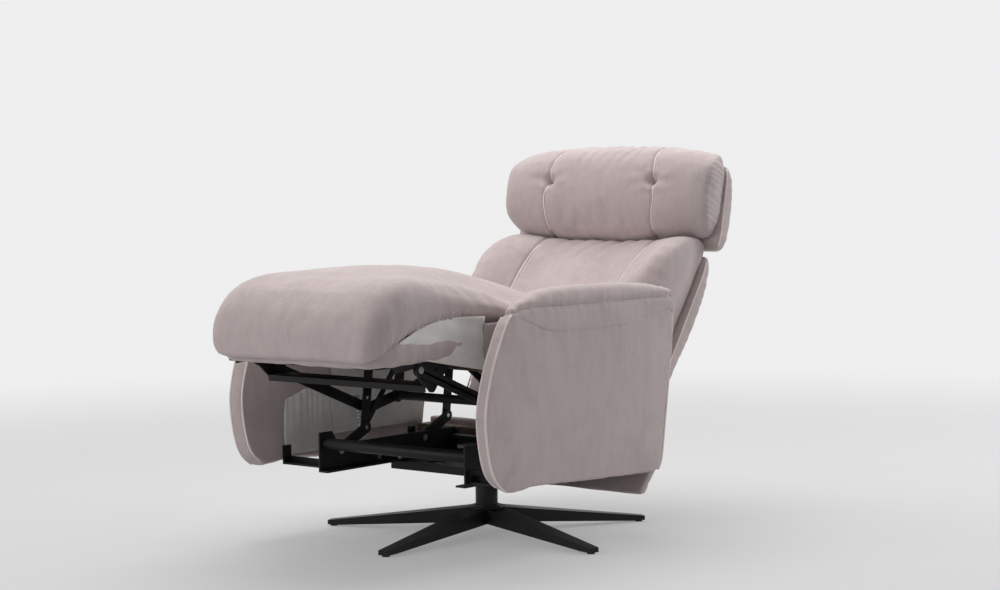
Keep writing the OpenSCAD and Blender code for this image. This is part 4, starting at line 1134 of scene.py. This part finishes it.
BAND_HALF_X = 0.242
BAND_HALF_W = 0.0215
BAND_FRONT_Y = -0.615
BAND_REAR_Y = -0.353
BAND_LOW_Z = 0.461
BAND_HIGH_Z = 0.548
BAND_BEND = 0.05
BAND_RIPPLE = 0.0012
BAND_RIPPLE_PITCH = 0.042
BAND_LOW_SHARE = [(0, 0.02), (0.2, 0.08), (0.6, 0.12), (0.82, 0.2), (1, 0.3)]
BAND_HIGH_SHARE = [(0, 0.64), (0.2, 0.7), (0.4, 0.67), (0.6, 0.65), (0.82, 0.68), (1, 0.76)]


def band_line():
    """Line of the edge roll, from the left side of the legrest round its front to the right side."""
    left = [(BAND_HALF_X, y) for y in np.linspace(BAND_REAR_Y, BAND_FRONT_Y + BAND_BEND, 12)]
    bend_x, bend_y = BAND_HALF_X - BAND_BEND, BAND_FRONT_Y + BAND_BEND
    corner = [
        (bend_x + BAND_BEND * math.cos(a), bend_y - BAND_BEND * math.sin(a))
        for a in np.linspace(0.3, math.pi / 2, 5)]
    line = np.array(left + corner + [(0.0, BAND_FRONT_Y)])
    return np.vstack([line, (line * (-1, 1))[-2::-1]])


def band_rings():
    """Cross-sections of the edge roll, rounded at both ends."""
    line = band_line()
    tall_all = BAND_HIGH_Z - BAND_LOW_Z
    rings = []
    for i, ((x, y), (ax, ay)) in enumerate(zip(line, headings(line))):
        share = (y - BAND_FRONT_Y) / (BAND_REAR_Y - BAND_FRONT_Y)
        end = math.sin(math.pi / 2 * min(1, (min(i, len(line) - 1 - i) + 0.9) / 1.1))
        low = BAND_LOW_Z + tall_all * float(profile(BAND_LOW_SHARE, share))
        high = BAND_LOW_Z + tall_all * float(profile(BAND_HIGH_SHARE, share))
        middle, tall, wide = (low + high) / 2, (high - low) / 2 * end, BAND_HALF_W * end
        ring = []
        for turn in np.arange(20) * 2 * np.pi / 20:
            c, s = math.cos(turn), math.sin(turn)
            c, s = math.copysign(abs(c) ** 0.7, c), math.copysign(abs(s) ** 0.8, s)
            ring.append((x - ay * wide * c, y + ax * wide * c, middle + tall * s))
        rings.append(ring)
    return rings


class RECLINER_OT_legrest_band(bpy.types.Operator):
    """Pad the edge of the legrest board with a roll along its sides and front"""

    bl_idname = "recliner.legrest_band"
    bl_label = "Legrest edge roll"

    def execute(self, context):
        roll = loft("legrest_edge_roll", band_rings())
        evened(roll, sizes().cover_voxel, 5)

        def wrinkles(co, no):
            ripples = BAND_RIPPLE * np.sin(co[:, 1] * 2 * np.pi / BAND_RIPPLE_PITCH) * np.abs(no[:, 0])
            return rolling(co, amount=0.0022, size=0.05, seed=9) + ripples

        press(roll, wrinkles)
        roll.data.shade_smooth()
        dress(roll, "suede")
        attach(roll, "legrest")
        return {"FINISHED"}


# Arms

ARM_FRONT_Y = -0.455
ARM_REAR_Y = 0.268
ARM_LOW_Z = 0.161
ARM_TOP_Z = 0.585
ARM_OUTER_X = 0.400
ARM_INNER_X = 0.364
# Outline from the toe up the front edge, along the top, down the rear and back along the foot
ARM_SHARE = [
    (0.103, 0.045), (0.048, 0.111), (0.018, 0.219), (0, 0.403), (0.007, 0.535), (0.040, 0.715),
    (0.089, 0.880), (0.118, 0.955), (0.150, 0.985), (0.215, 0.955), (0.300, 0.910), (0.420, 0.888),
    (0.560, 0.882), (0.700, 0.890), (0.830, 0.915), (0.930, 0.941), (0.978, 0.950), (0.995, 0.875),
    (0.986, 0.710), (0.972, 0.530), (0.953, 0.330), (0.935, 0.140), (0.920, 0.040), (0.885, 0.006),
    (0.780, 0.008), (0.600, 0.020), (0.408, 0.036), (0.240, 0.050), (0.160, 0.040)]
ARM_STEPS = 5
# First and last of the outline's points along the top
ARM_TOP_POINTS = (8, 17)
# How far the outline is drawn in at places through the thickness, in metres
ARM_LAYER_SHARE = [
    (0, 0.018), (0.03, 0.010), (0.1, 0.0085), (0.3, 0.006), (0.6, 0.003), (0.8, 0.001), (0.92, 0.0),
    (0.97, 0.003), (0.99, 0.008), (1, 0.02)]
ARM_SEAM_OVERLAP = 0.016
ARM_PUFF = 0.0055
ARM_PUFF_WIDTH = 0.07
ARM_TUG = 0.0004
ARM_TUG_WIDTH = 0.03
ARM_FOLDS = [((-0.37, 0.185), (-0.30, 0.235), 0.0022), ((-0.40, 0.21), (-0.34, 0.29), 0.0018)]
ARM_FOLD_WIDTH = 0.010
ARM_FRONT_PIPING_SHARE = 0.262
ARM_REAR_PIPING_SHARE = (0.575, 0.79)
ARM_PIPING_SINK = 0.0022
ARM_OUTER_PIPING_INSET = 0.0012
ARM_INNER_PIPING_INSET = 0.0100
ARM_PIPING_SIZE = 1.15
PAD_FRONT_Y = -0.353
PAD_REAR_Y = 0.270
PAD_HIGH_Z = 0.625
PAD_WIDTH = 0.084
PAD_OVERHANG = 0.0015
PAD_TOP_SHARE = [
    (0, 0.03), (0.09, 0.5), (0.18, 0.84), (0.34, 1.0), (0.56, 0.98), (0.76, 0.86), (0.92, 0.62), (1, 0.36)]
PAD_RING_SHARE = [
    (0.5, 1), (0.74, 0.975), (0.9, 0.87), (0.985, 0.62), (1, 0.3), (1, 0.05), (0.97, 0), (0.55, 0), (0.12, 0),
    (0.01, 0.14), (0.0, 0.5), (0.08, 0.8), (0.25, 0.95)]
PAD_SEAM = [
    (-0.352, 0.5755), (-0.325, 0.584), (-0.283, 0.588), (-0.15, 0.586), (-0.043, 0.585), (0.145, 0.586),
    (0.262, 0.585)]
PAD_PUFF = 0.0028
PAD_PUFF_LOW_Z = 0.588
PAD_PUFF_FADE = 0.008
PAD_GATHER_DEPTH = 0.0006
PAD_GATHER_WIDTH = 0.02
PAD_TIP_SHARE = 0.2
PAD_TIP_NARROWING = 0.68
PAD_END_SHARE = 0.93
PAD_END_NARROWING = 0.3


def arm_outline():
    """Closed line round an arm panel, as places along and up."""
    tall, length = ARM_TOP_Z - ARM_LOW_Z, ARM_REAR_Y - ARM_FRONT_Y
    return spline([(ARM_FRONT_Y + y * length, ARM_LOW_Z + z * tall) for y, z in ARM_SHARE], ARM_STEPS, True)


def inward_from(ahead):
    """Ways into an outline from its headings."""
    return np.column_stack([ahead[:, 1], -ahead[:, 0]])


def drawn_in(outline, distance):
    """Moves a closed outline inwards by a distance."""
    ahead = np.roll(outline, -1, axis=0) - np.roll(outline, 1, axis=0)
    ahead /= np.linalg.norm(ahead, axis=1, keepdims=True)
    return outline + inward_from(ahead) * distance


def pad_foot_z(y):
    """Height of the arm panel's top edge under the pad."""
    first, last = ARM_TOP_POINTS
    top = arm_outline()[first * ARM_STEPS : last * ARM_STEPS]
    return np.interp(y, top[:, 0], top[:, 1])


def both_arms(left_pieces):
    """Copies left pieces for the right arm, and lets all of them ride on the chassis."""
    for piece in left_pieces + [mirrored(piece) for piece in left_pieces]:
        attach(piece, "chassis")


class RECLINER_OT_arms(bpy.types.Operator):
    """Cover the arm panels, with a strip between two piped seams along their edge"""

    bl_idname = "recliner.arms"
    bl_label = "Arm panels"

    def panel(self, outline):
        """The covered left panel, puffed out within its edge."""
        thick = ARM_OUTER_X - ARM_INNER_X
        panel = loft("arm_panel_left", [
            [(ARM_INNER_X + share * thick, y, z) for y, z in drawn_in(outline, distance)]
            for share, distance in ARM_LAYER_SHARE])
        evened(panel, sizes().cover_voxel, 3)
        edge = np.vstack([outline, outline[:1]])

        def covering(co, no):
            flat = co[:, [1, 2]]
            away, along, _ = near_line(flat, edge)
            outer, inner = facing(no, (1, 0, 0), sharp=2.0), facing(no, (-1, 0, 0), sharp=2.0)
            puff = ARM_PUFF * (1 - bell(away / ARM_PUFF_WIDTH))
            tug = ARM_TUG * gathered(along, pitch=0.046, wander=2, rate=31) * bell(away / ARM_TUG_WIDTH)
            sag = rolling(co * (1, 1, 0.45), amount=0.0016, size=0.09, seed=10)
            folds = creased(flat, ARM_FOLDS, ARM_FOLD_WIDTH)
            return (puff + folds) * outer + tug + sag * (outer + 0.4 * inner)

        press(panel, covering)
        panel.data.shade_smooth()
        dress(panel, "suede")
        return panel

    def piping(self, outline):
        """The left beads: two up the front edge with the strip between them, and one down the rear edge."""
        first, last = (int(len(outline) * share) for share in ARM_REAR_PIPING_SHARE)
        front = softened(outline[int(len(outline) * ARM_FRONT_PIPING_SHARE) :: -1][:-1])
        rear = softened(outline[first:last])
        front_in, rear_in = -inward_from(headings(front)), inward_from(headings(rear))
        outer_x, inner_x = ARM_OUTER_X - ARM_PIPING_SINK, ARM_INNER_X + ARM_PIPING_SINK
        paths = {
            "front_outer": (front + front_in * ARM_OUTER_PIPING_INSET, outer_x),
            "front_inner": (front + front_in * ARM_INNER_PIPING_INSET, inner_x),
            "rear_outer": (rear + rear_in * ARM_OUTER_PIPING_INSET, outer_x),
        }
        beads = []
        for part, (line, x) in paths.items():
            path = [(x, y, z) for y, z in line]
            beads.append(tube(f"arm_piping_{part}_left", path, sizes().piping_radius * ARM_PIPING_SIZE))
            # The lighter piping colour is a painted highlight along the bead
            dress(beads[-1], "piping")
        return beads

    def execute(self, context):
        outline = arm_outline()
        both_arms([self.panel(outline), *self.piping(outline)])
        for side, _ in SIDES:
            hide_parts(f"arm_cover_{side}")
        return {"FINISHED"}


class RECLINER_OT_arm_pads(bpy.types.Operator):
    """Pad the tops of the arms with crescent bolsters"""

    bl_idname = "recliner.arm_pads"
    bl_label = "Arm pads"

    def rings(self):
        """Cross-sections of the left bolster, narrow at its front tip and a little at its rear end."""
        rise = PAD_HIGH_Z - ARM_TOP_Z
        left_x = ARM_OUTER_X + PAD_OVERHANG - PAD_WIDTH
        section = spline(PAD_RING_SHARE, 4, True)
        rings = []
        for share in crowded_ends(30):
            y = PAD_FRONT_Y + (PAD_REAR_Y - PAD_FRONT_Y) * share
            foot = float(pad_foot_z(y)) - ARM_SEAM_OVERLAP
            tall = ARM_TOP_Z + rise * float(profile(PAD_TOP_SHARE, share)) - foot
            tip = max(0, 1 - share / PAD_TIP_SHARE) ** 1.4
            end = max(0, (share - PAD_END_SHARE) / (1 - PAD_END_SHARE)) ** 1.5
            narrow = 1 - PAD_TIP_NARROWING * tip - PAD_END_NARROWING * end
            start_x = left_x + PAD_WIDTH * (1 - narrow)
            rings.append([(start_x + PAD_WIDTH * narrow * x, y, foot + tall * z) for x, z in section])
        return rings

    def execute(self, context):
        size = sizes()
        pad = loft("arm_bolster_left", self.rings())
        evened(pad, size.cover_voxel * 0.9, 3)
        seam_line = spline(PAD_SEAM, 6)

        def covering(co, no):
            flat = co[:, [1, 2]]
            outer = facing(no, (1, 0, 0.2), sharp=2.5)
            seam = sewn(flat, seam_line, depth=0.0042, width=0.0050, pucker=0.0004, pitch=0.022)
            puff = PAD_PUFF * np.clip((co[:, 2] - PAD_PUFF_LOW_Z) / PAD_PUFF_FADE, 0, 1)
            away, along, _ = near_line(flat, seam_line)
            gather = PAD_GATHER_DEPTH * bell(away / PAD_GATHER_WIDTH)
            gather = gather * gathered(along, pitch=0.035, wander=1.5, rate=33)
            uneven = rolling(co, amount=0.0018, size=0.07, seed=11)
            uneven += rolling(co, amount=0.0008, size=0.03, seed=12)
            return (seam + puff + gather) * outer + uneven

        press(pad, covering)
        starts = [(1.0, y, z) for y, z in seam_line[1:-1]]
        line = softened(laid_on(pad, starts, (-1, 0, 0), size.piping_radius * 0.2))
        pad.data.shade_smooth()
        dress(pad, "suede")
        bead = tube("arm_bolster_piping_left", line, size.piping_radius * 0.5)
        dress(bead, "suede")
        both_arms([pad, bead])
        for side, _ in SIDES:
            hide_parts(f"arm_pad_{side}")
        return {"FINISHED"}


APRON_LOW_Z = 0.104
APRON_HIGH_Z = 0.244
APRON_REAR_Y = 0.262
APRON_THICK = 0.026
APRON_SIDE_GAP = 0.0008
APRON_HEM_RISE = 0.022
# Outer face: shares of the height, each with how far the face lies before the rear, in halves of the height
APRON_SHARE = [(0, 0.9), (0.12, 0.7), (0.25, 0.5), (0.37, 0.29), (0.5, 0.14), (0.62, 0.04), (0.75, 0), (1, 0)]


class RECLINER_OT_apron(bpy.types.Operator):
    """Cover the apron that closes the rear of the tub"""

    bl_idname = "recliner.apron"
    bl_label = "Rear apron"

    def execute(self, context):
        tall = APRON_HIGH_Z - APRON_LOW_Z
        half = ARM_INNER_X - APRON_SIDE_GAP
        outer = [(APRON_REAR_Y - before * tall / 2, APRON_LOW_Z + up * tall) for up, before in APRON_SHARE]
        inner = [(y - APRON_THICK, z) for y, z in reversed(outer)]
        rings = [[(x, y, z) for y, z in outer + inner] for x in np.linspace(-half, half, 9)]
        apron = loft("rear_apron_cover", rings)
        evened(apron, sizes().cover_voxel * 1.1, 4)
        hem = np.array([(x, APRON_LOW_Z + APRON_HEM_RISE) for x in np.linspace(-half, half, 10)])

        def covering(co, no):
            rear_side = facing(no, (0, 1, -0.2), sharp=2.0)
            seam = sewn(co[:, [0, 2]], hem, depth=0.002, width=0.004, pucker=0.0004, pitch=0.024)
            return seam * rear_side + rolling(co, amount=0.0018, size=0.08, seed=13)

        press(apron, covering)
        apron.data.shade_smooth()
        dress(apron, "suede")
        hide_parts("rear_apron")
        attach(apron, "chassis")
        return {"FINISHED"}


# Dust cloths and side strips

# Each cloth hangs at an X and runs a length back from its front Y, where its low corner lies at a Z
ARM_CLOTH_X = 0.3622
ARM_CLOTH_Y = -0.140
ARM_CLOTH_Z = 0.236
ARM_CLOTH_LENGTH = 0.345
ARM_CLOTH_HEIGHT = 0.236
FRONT_CLOTH_X = 0.3618
FRONT_CLOTH_Y = -0.304
FRONT_CLOTH_Z = 0.2
FRONT_CLOTH_LENGTH = 0.166
FRONT_CLOTH_HEIGHT = 0.136
FRONT_CLOTH_RISE = 0.05
SEAT_CLOTH_X = 0.256
SEAT_CLOTH_Y = -0.572
SEAT_CLOTH_Z = 0.492
SEAT_CLOTH_LENGTH = 0.272
SEAT_CLOTH_KNEE = 0.106
SEAT_CLOTH_FALL = 0.021
SEAT_CLOTH_REAR_FALL = 0.031
SEAT_CLOTH_TUCK = 0.016
SEAT_CLOTH_FLARE = 0.0155
SEAT_CLOTH_FLARE_FROM = 0.127
STRIP_X = 0.2735
STRIP_Y = -0.304
STRIP_Z = 0.441
STRIP_LENGTH = 0.237
STRIP_HIGH_Z = 0.547
STRIP_FALL = 0.031
# How far a cloth hangs in between its edges
CLOTH_SAG = 0.0022


def pleats(y, v, start, depth, pitch):
    """Wave of a cloth's pleats, which begin at a share of its height and are deepest at its upper edge."""
    wave = math.sin(y * 2 * math.pi / pitch + 1.3 * math.sin(y * 60))
    return depth * max(0.0, v - start) / (1 - start) * wave


def inside_arm(sign, u, v):
    """Dust cloth inside an arm, with pleats towards its upper edge."""
    y, z = ARM_CLOTH_Y + ARM_CLOTH_LENGTH * u, ARM_CLOTH_Z + ARM_CLOTH_HEIGHT * v
    wave = pleats(y, v, start=0.55, depth=0.0024, pitch=0.024)
    sunk = CLOTH_SAG * math.sin(math.pi * v)
    droop = sunk * noise.noise(Vector((y * 9, z * 9, sign)))
    return (sign * (ARM_CLOTH_X - sunk + wave - abs(droop)), y, z)


def front_of_arm(sign, u, v):
    """Dust cloth at the front of an arm, taller towards the rear, its front edge a little bowed."""
    y = FRONT_CLOTH_Y + FRONT_CLOTH_LENGTH * u - 0.006 * math.sin(math.pi * v) * (1 - u)
    z = FRONT_CLOTH_Z + (FRONT_CLOTH_HEIGHT + FRONT_CLOTH_RISE * u) * v
    wave = pleats(y, v, start=0.35, depth=0.0018, pitch=0.021)
    return (sign * (FRONT_CLOTH_X - 0.0016 * math.sin(math.pi * v) + wave), y, z)


def under_seat(sign, u, v):
    """Dust cloth from the underside of the cushion down to the seat's side, falling towards the rear."""
    along = SEAT_CLOTH_LENGTH * u
    y = SEAT_CLOTH_Y + along
    before = min(1, along / SEAT_CLOTH_KNEE)
    behind = max(0, along - SEAT_CLOTH_KNEE) / (SEAT_CLOTH_LENGTH - SEAT_CLOTH_KNEE)
    low = SEAT_CLOTH_Z - SEAT_CLOTH_FALL * before - SEAT_CLOTH_REAR_FALL * behind
    high = float(chaise_place(CHAISE_UNDER_SHARE, y)) + SEAT_CLOTH_TUCK
    z = low + (high - low) * v
    ease = max(0.0, along - SEAT_CLOTH_FLARE_FROM) / (SEAT_CLOTH_LENGTH - SEAT_CLOTH_FLARE_FROM)
    flare = SEAT_CLOTH_FLARE * ease * ease * (3 - 2 * ease)
    droop = CLOTH_SAG * noise.noise(Vector((y * 16, z * 12, 4 + sign)))
    ripple = 0.0012 * math.sin(z * 2 * math.pi / 0.05 + y * 40)
    return (sign * (SEAT_CLOTH_X + flare + droop + ripple), y, z)


def side_strip(sign, u, v):
    """Strip of the cover along the seat's side."""
    y = STRIP_Y + STRIP_LENGTH * u
    low = STRIP_Z - STRIP_FALL * u
    z = low + (STRIP_HIGH_Z - low) * v
    droop = 0.0016 * noise.noise(Vector((y * 14, z * 14, 8 + sign)))
    return (sign * (STRIP_X + droop), y, z)


def cloth_panel(name, across, upward, place, sign, finish, body):
    """A sheet over a grid: place(sign of the side, share across, share upward) gives its points."""
    points = [place(sign, u, v) for v in np.linspace(0, 1, upward) for u in np.linspace(0, 1, across)]
    faces = [
        (j * across + i, j * across + i + 1, (j + 1) * across + i + 1, (j + 1) * across + i)
        for j in range(upward - 1) for i in range(across - 1)]
    sheet = new_piece(name, points, faces)
    finish_modifier(sheet, "SOLIDIFY", thickness=sizes().cloth_thickness, offset=0.0)
    sheet.data.shade_smooth()
    dress(sheet, finish)
    if body:
        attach(sheet, body)
    else:
        fold_over_hinge(sheet)
    return sheet


class RECLINER_OT_linings(bpy.types.Operator):
    """Stretch the dust cloths inside the arms and under the sides of the seat"""

    bl_idname = "recliner.linings"
    bl_label = "Dust cloths"

    def execute(self, context):
        for side, sign in SIDES:
            lining = cloth_panel(
                f"arm_dust_cloth_{side}", 72, 30, inside_arm, sign, "dust_cloth", "chassis")
            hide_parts(f"arm_lining_{side}")
            cloth_panel(f"arm_front_cloth_{side}", 40, 18, front_of_arm, sign, "dust_cloth", "chassis")
            gusset = cloth_panel(
                f"seat_dust_cloth_{side}", 44, 20, under_seat, sign, "dust_cloth", None)
            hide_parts("seat_lining")
            cloth_panel(f"seat_side_strip_{side}", 34, 18, side_strip, sign, "suede", "seat")
        return {"FINISHED"}


# Springs and metalwork

SPRING_X = 0.27233
SPRING_FOOT = np.array((-0.115, 0.186))
SPRING_HEAD = np.array((-0.141, 0.334))
SPRING_TURNS = 14
SPRING_TURN_STEPS = 16
SPRING_RADIUS = 0.0083
SPRING_WIRE = 0.0012
SPRING_HOOK = 0.016
SPRING_TAPER = 1.6
BEVEL_WIDTH = 0.0006
BEVEL_FROM = 40
WELD_GAP = 0.00002


def spring_path(run):
    """Line of the wire up from the foot: a hook, the coil and a hook."""
    coil = run - 2 * SPRING_HOOK
    foot_hook = [
        (0.0, -0.0042, 0.0035), (0.0, 0.0, -0.0045), (0.0, 0.0042, 0.0), (0.0, 0.003, 0.006),
        (0.0, 0.0, SPRING_HOOK - 0.004)]
    head_hook = [
        (0.0, 0.0, run - SPRING_HOOK + 0.004), (0.0, 0.003, run - 0.006), (0.0, 0.0042, run),
        (0.0, 0.0, run + 0.0045), (0.0, -0.0042, run - 0.0035)]
    path = list(spline(foot_hook, 5))[:-1]
    for i in range(SPRING_TURNS * SPRING_TURN_STEPS + 1):
        t = i / SPRING_TURN_STEPS
        wide = SPRING_RADIUS * min(1, SPRING_TAPER * t, SPRING_TAPER * (SPRING_TURNS - t))
        turn = 2 * math.pi * t
        path.append((wide * math.cos(turn), wide * math.sin(turn), SPRING_HOOK + coil * t / SPRING_TURNS))
    return path + list(spline(head_hook, 5))[1:]


class RECLINER_OT_springs(bpy.types.Operator):
    """Wind the assist springs with their hooks"""

    bl_idname = "recliner.springs"
    bl_label = "Assist springs"

    def execute(self, context):
        run = np.linalg.norm(SPRING_HEAD - SPRING_FOOT)
        way_y, way_z = (SPRING_HEAD - SPRING_FOOT) / run
        foot_y, foot_z = SPRING_FOOT
        for side, sign in SIDES:
            path = [
                (sign * SPRING_X + x, foot_y + way_y * z + way_z * y, foot_z + way_z * z - way_y * y)
                for x, y, z in spring_path(run)]
            spring = tube(f"assist_coil_{side}", path, SPRING_WIRE, 7)
            dress(spring, "spring_wire")
            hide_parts(f"assist_spring_{side}")
            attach(spring, "chassis")
            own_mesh(spring)
        return {"FINISHED"}


class RECLINER_OT_metalwork(bpy.types.Operator):
    """Give every solid its finish, and the metal ones softened edges"""

    bl_idname = "recliner.metalwork"
    bl_label = "Frame and mechanism"

    def execute(self, context):
        slots = {row["node"]: row["material_slot"] for row in frame["record"]["subparts"]}
        for name, node in NODES.items():
            finish = "board_lining" if name == "legrest_board" else slots[name]
            node.data.materials.clear()
            node.data.materials.append(finish_for(finish))
            if finish in ("base_metal", "frame_metal", "link_metal", "bright_metal"):
                weld = node.modifiers.new("Weld", "WELD")
                weld.merge_threshold = WELD_GAP
                bevel = node.modifiers.new("Bevel", "BEVEL")
                bevel.width = BEVEL_WIDTH
                bevel.segments = 2
                bevel.limit_method = "ANGLE"
                bevel.angle_limit = math.radians(BEVEL_FROM)
        return {"FINISHED"}


# Studio

CAMERA_PLACE = (3.378, -4.067, 0.900)
CAMERA_HEADING = 39.5 - 0.41
CAMERA_PITCH = 3.39
CAMERA_ROLL = -0.64
CAMERA_LENS = 77.9
CAMERA_SENSOR = 36
CAMERA_REACH = 60
LAMP_TARGET = (0, 0, 0.45)
# Each lamp's name, place, width, height and tint
LAMPS = (
    ("top_box", (-0.6, 0.5, 2.9), 2.6, 2.2, (1, 0.99, 0.98)),
    ("front_box", (-1.6, -3.2, 1.7), 1.8, 1.6, (1, 1, 1)),
    ("rear_box", (1.7, 2.6, 1.9), 1.4, 1.8, (0.98, 0.99, 1)),
)
FLOOR_SIZE = 40
# Distances from the chair at which the floor starts and ends its fade into the backdrop
FLOOR_FADE_START = 0.7
FLOOR_FADE_END = 4.6


def aim(eye, heading, pitch, roll):
    """Place and turn of a camera that looks along a heading and down by a pitch, with a roll."""
    a, p, r = (math.radians(x) for x in (heading, pitch, roll))
    level = Vector((-math.sin(a), math.cos(a), 0))
    right = Vector((math.cos(a), math.sin(a), 0))
    ahead = level * math.cos(p) - Vector((0, 0, 1)) * math.sin(p)
    up = right.cross(ahead)
    side = right * math.cos(r) + up * math.sin(r)
    top = up * math.cos(r) - right * math.sin(r)
    turn = Matrix((side, top, -ahead)).transposed().to_4x4()
    return Matrix.Translation(eye) @ turn


def lamp(name, place, width, height, tint, power):
    """A rectangular lamp that faces the chair."""
    data = bpy.data.lights.new(name, "AREA")
    data.shape = "RECTANGLE"
    data.size, data.size_y = width, height
    data.energy = power
    data.color = tint
    light = bpy.data.objects.new(name, data)
    light.location = place
    light.rotation_euler = (Vector(LAMP_TARGET) - Vector(place)).to_track_quat("-Z", "Y").to_euler()
    bpy.context.scene.collection.objects.link(light)


class RECLINER_OT_stage(bpy.types.Operator):
    """Set up the floor, the lamps and the camera"""

    bl_idname = "recliner.stage"
    bl_label = "Studio"

    def seen(self, tree):
        """One for what the camera sees, straight or in a reflection, and zero for what lights the chair."""
        path = tree.nodes.new("ShaderNodeLightPath")
        camera, glossy, through = (
            Socket(tree, path.outputs[f"Is {kind} Ray"]) for kind in ("Camera", "Glossy", "Transmission"))
        total = camera + glossy + through
        return total.math("MINIMUM", total, 1.0)

    def floor(self, stage):
        """Studio floor that fades into the backdrop away from the chair."""
        bpy.ops.mesh.primitive_plane_add(size=FLOOR_SIZE, location=(0, 0, 0))
        floor = bpy.context.active_object
        floor.name = "studio_floor"
        made = Finish("studio_floor")
        tone, pale = stage.floor_shade, stage.backdrop_shade
        tinted = made.ramp(made.noise(3.0, detail=3.0), (tone, tone, tone), (0.3, 0.98), (0.7, 1))
        lit = made.node("ShaderNodeBsdfPrincipled", inputs={
            "Base Color": tinted, "Roughness": 0.85, "Specular IOR Level": 0.1})
        glow = made.node("ShaderNodeEmission", inputs={"Color": (pale, pale, pale)})
        away = made.node("ShaderNodeVectorMath", {"operation": "LENGTH"}, {0: made.place}, "Value")
        fade = made.node("ShaderNodeMapRange", {"interpolation_type": "SMOOTHSTEP"}, {
            "Value": away, "From Min": FLOOR_FADE_START, "From Max": FLOOR_FADE_END,
            "To Min": stage.floor_glow, "To Max": 1.0})
        mixed = made.node("ShaderNodeMixShader", inputs={0: fade * self.seen(made.tree), 1: lit, 2: glow})
        made.tree.links.new(mixed.output, made.tree.nodes.new("ShaderNodeOutputMaterial").inputs["Surface"])
        floor.data.materials.append(made.material)

    def room(self, stage):
        """Even light all round, and the backdrop that the camera sees."""
        world = bpy.data.worlds.new("studio_room")
        world.use_nodes = True
        tree = world.node_tree
        tree.nodes.clear()
        light, view = (tree.nodes.new("ShaderNodeBackground") for _ in range(2))
        light.inputs["Color"].default_value = (*WHITE, 1)
        light.inputs["Strength"].default_value = stage.room_light
        view.inputs["Color"].default_value = (*(stage.backdrop_shade,) * 3, 1)
        mix = tree.nodes.new("ShaderNodeMixShader")
        out = tree.nodes.new("ShaderNodeOutputWorld")
        tree.links.new(self.seen(tree).output, mix.inputs[0])
        tree.links.new(light.outputs[0], mix.inputs[1])
        tree.links.new(view.outputs[0], mix.inputs[2])
        tree.links.new(mix.outputs[0], out.inputs[0])
        return world

    def camera(self):
        data = bpy.data.cameras.new("camera")
        data.lens = CAMERA_LENS
        data.sensor_width = CAMERA_SENSOR
        data.clip_end = CAMERA_REACH
        camera = bpy.data.objects.new("camera", data)
        camera.matrix_world = aim(CAMERA_PLACE, CAMERA_HEADING, CAMERA_PITCH, CAMERA_ROLL)
        bpy.context.scene.collection.objects.link(camera)
        return camera

    def execute(self, context):
        scene = context.scene
        stage = scene.recliner_stage
        scene.view_settings.view_transform = "Standard"
        self.floor(stage)
        scene.world = self.room(stage)
        for row, power in zip(LAMPS, (stage.top_lamp, stage.front_lamp, stage.rear_lamp)):
            lamp(*row, power)
        scene.camera = self.camera()
        return {"FINISHED"}


class RECLINER_PT_panel(bpy.types.Panel):
    """Steps that dress the recliner"""

    bl_idname = "RECLINER_PT_panel"
    bl_label = "Swivel recliner"
    bl_space_type = "VIEW_3D"
    bl_region_type = "UI"
    bl_category = "Recliner"

    def draw(self, context):
        for step in STEPS:
            self.layout.operator(step.bl_idname)


STEPS = (
    RECLINER_OT_metalwork, RECLINER_OT_chaise, RECLINER_OT_legrest_band, RECLINER_OT_back,
    RECLINER_OT_headrest, RECLINER_OT_shells, RECLINER_OT_arms, RECLINER_OT_arm_pads, RECLINER_OT_apron,
    RECLINER_OT_linings, RECLINER_OT_springs, RECLINER_OT_stage,
)
CLASSES = (ReclinerSizes, ReclinerColours, ReclinerStage, *STEPS, RECLINER_PT_panel)


def register():
    for kind in CLASSES:
        bpy.utils.register_class(kind)
    bpy.types.Scene.recliner_sizes = PointerProperty(type=ReclinerSizes)
    bpy.types.Scene.recliner_colours = PointerProperty(type=ReclinerColours)
    bpy.types.Scene.recliner_stage = PointerProperty(type=ReclinerStage)


def unregister():
    del bpy.types.Scene.recliner_stage
    del bpy.types.Scene.recliner_colours
    del bpy.types.Scene.recliner_sizes
    for kind in reversed(CLASSES):
        bpy.utils.unregister_class(kind)


def main():
    register()
    for step in STEPS:
        group, name = step.bl_idname.split(".")
        getattr(getattr(bpy.ops, group), name)()


if __name__ == "__main__":
    main()
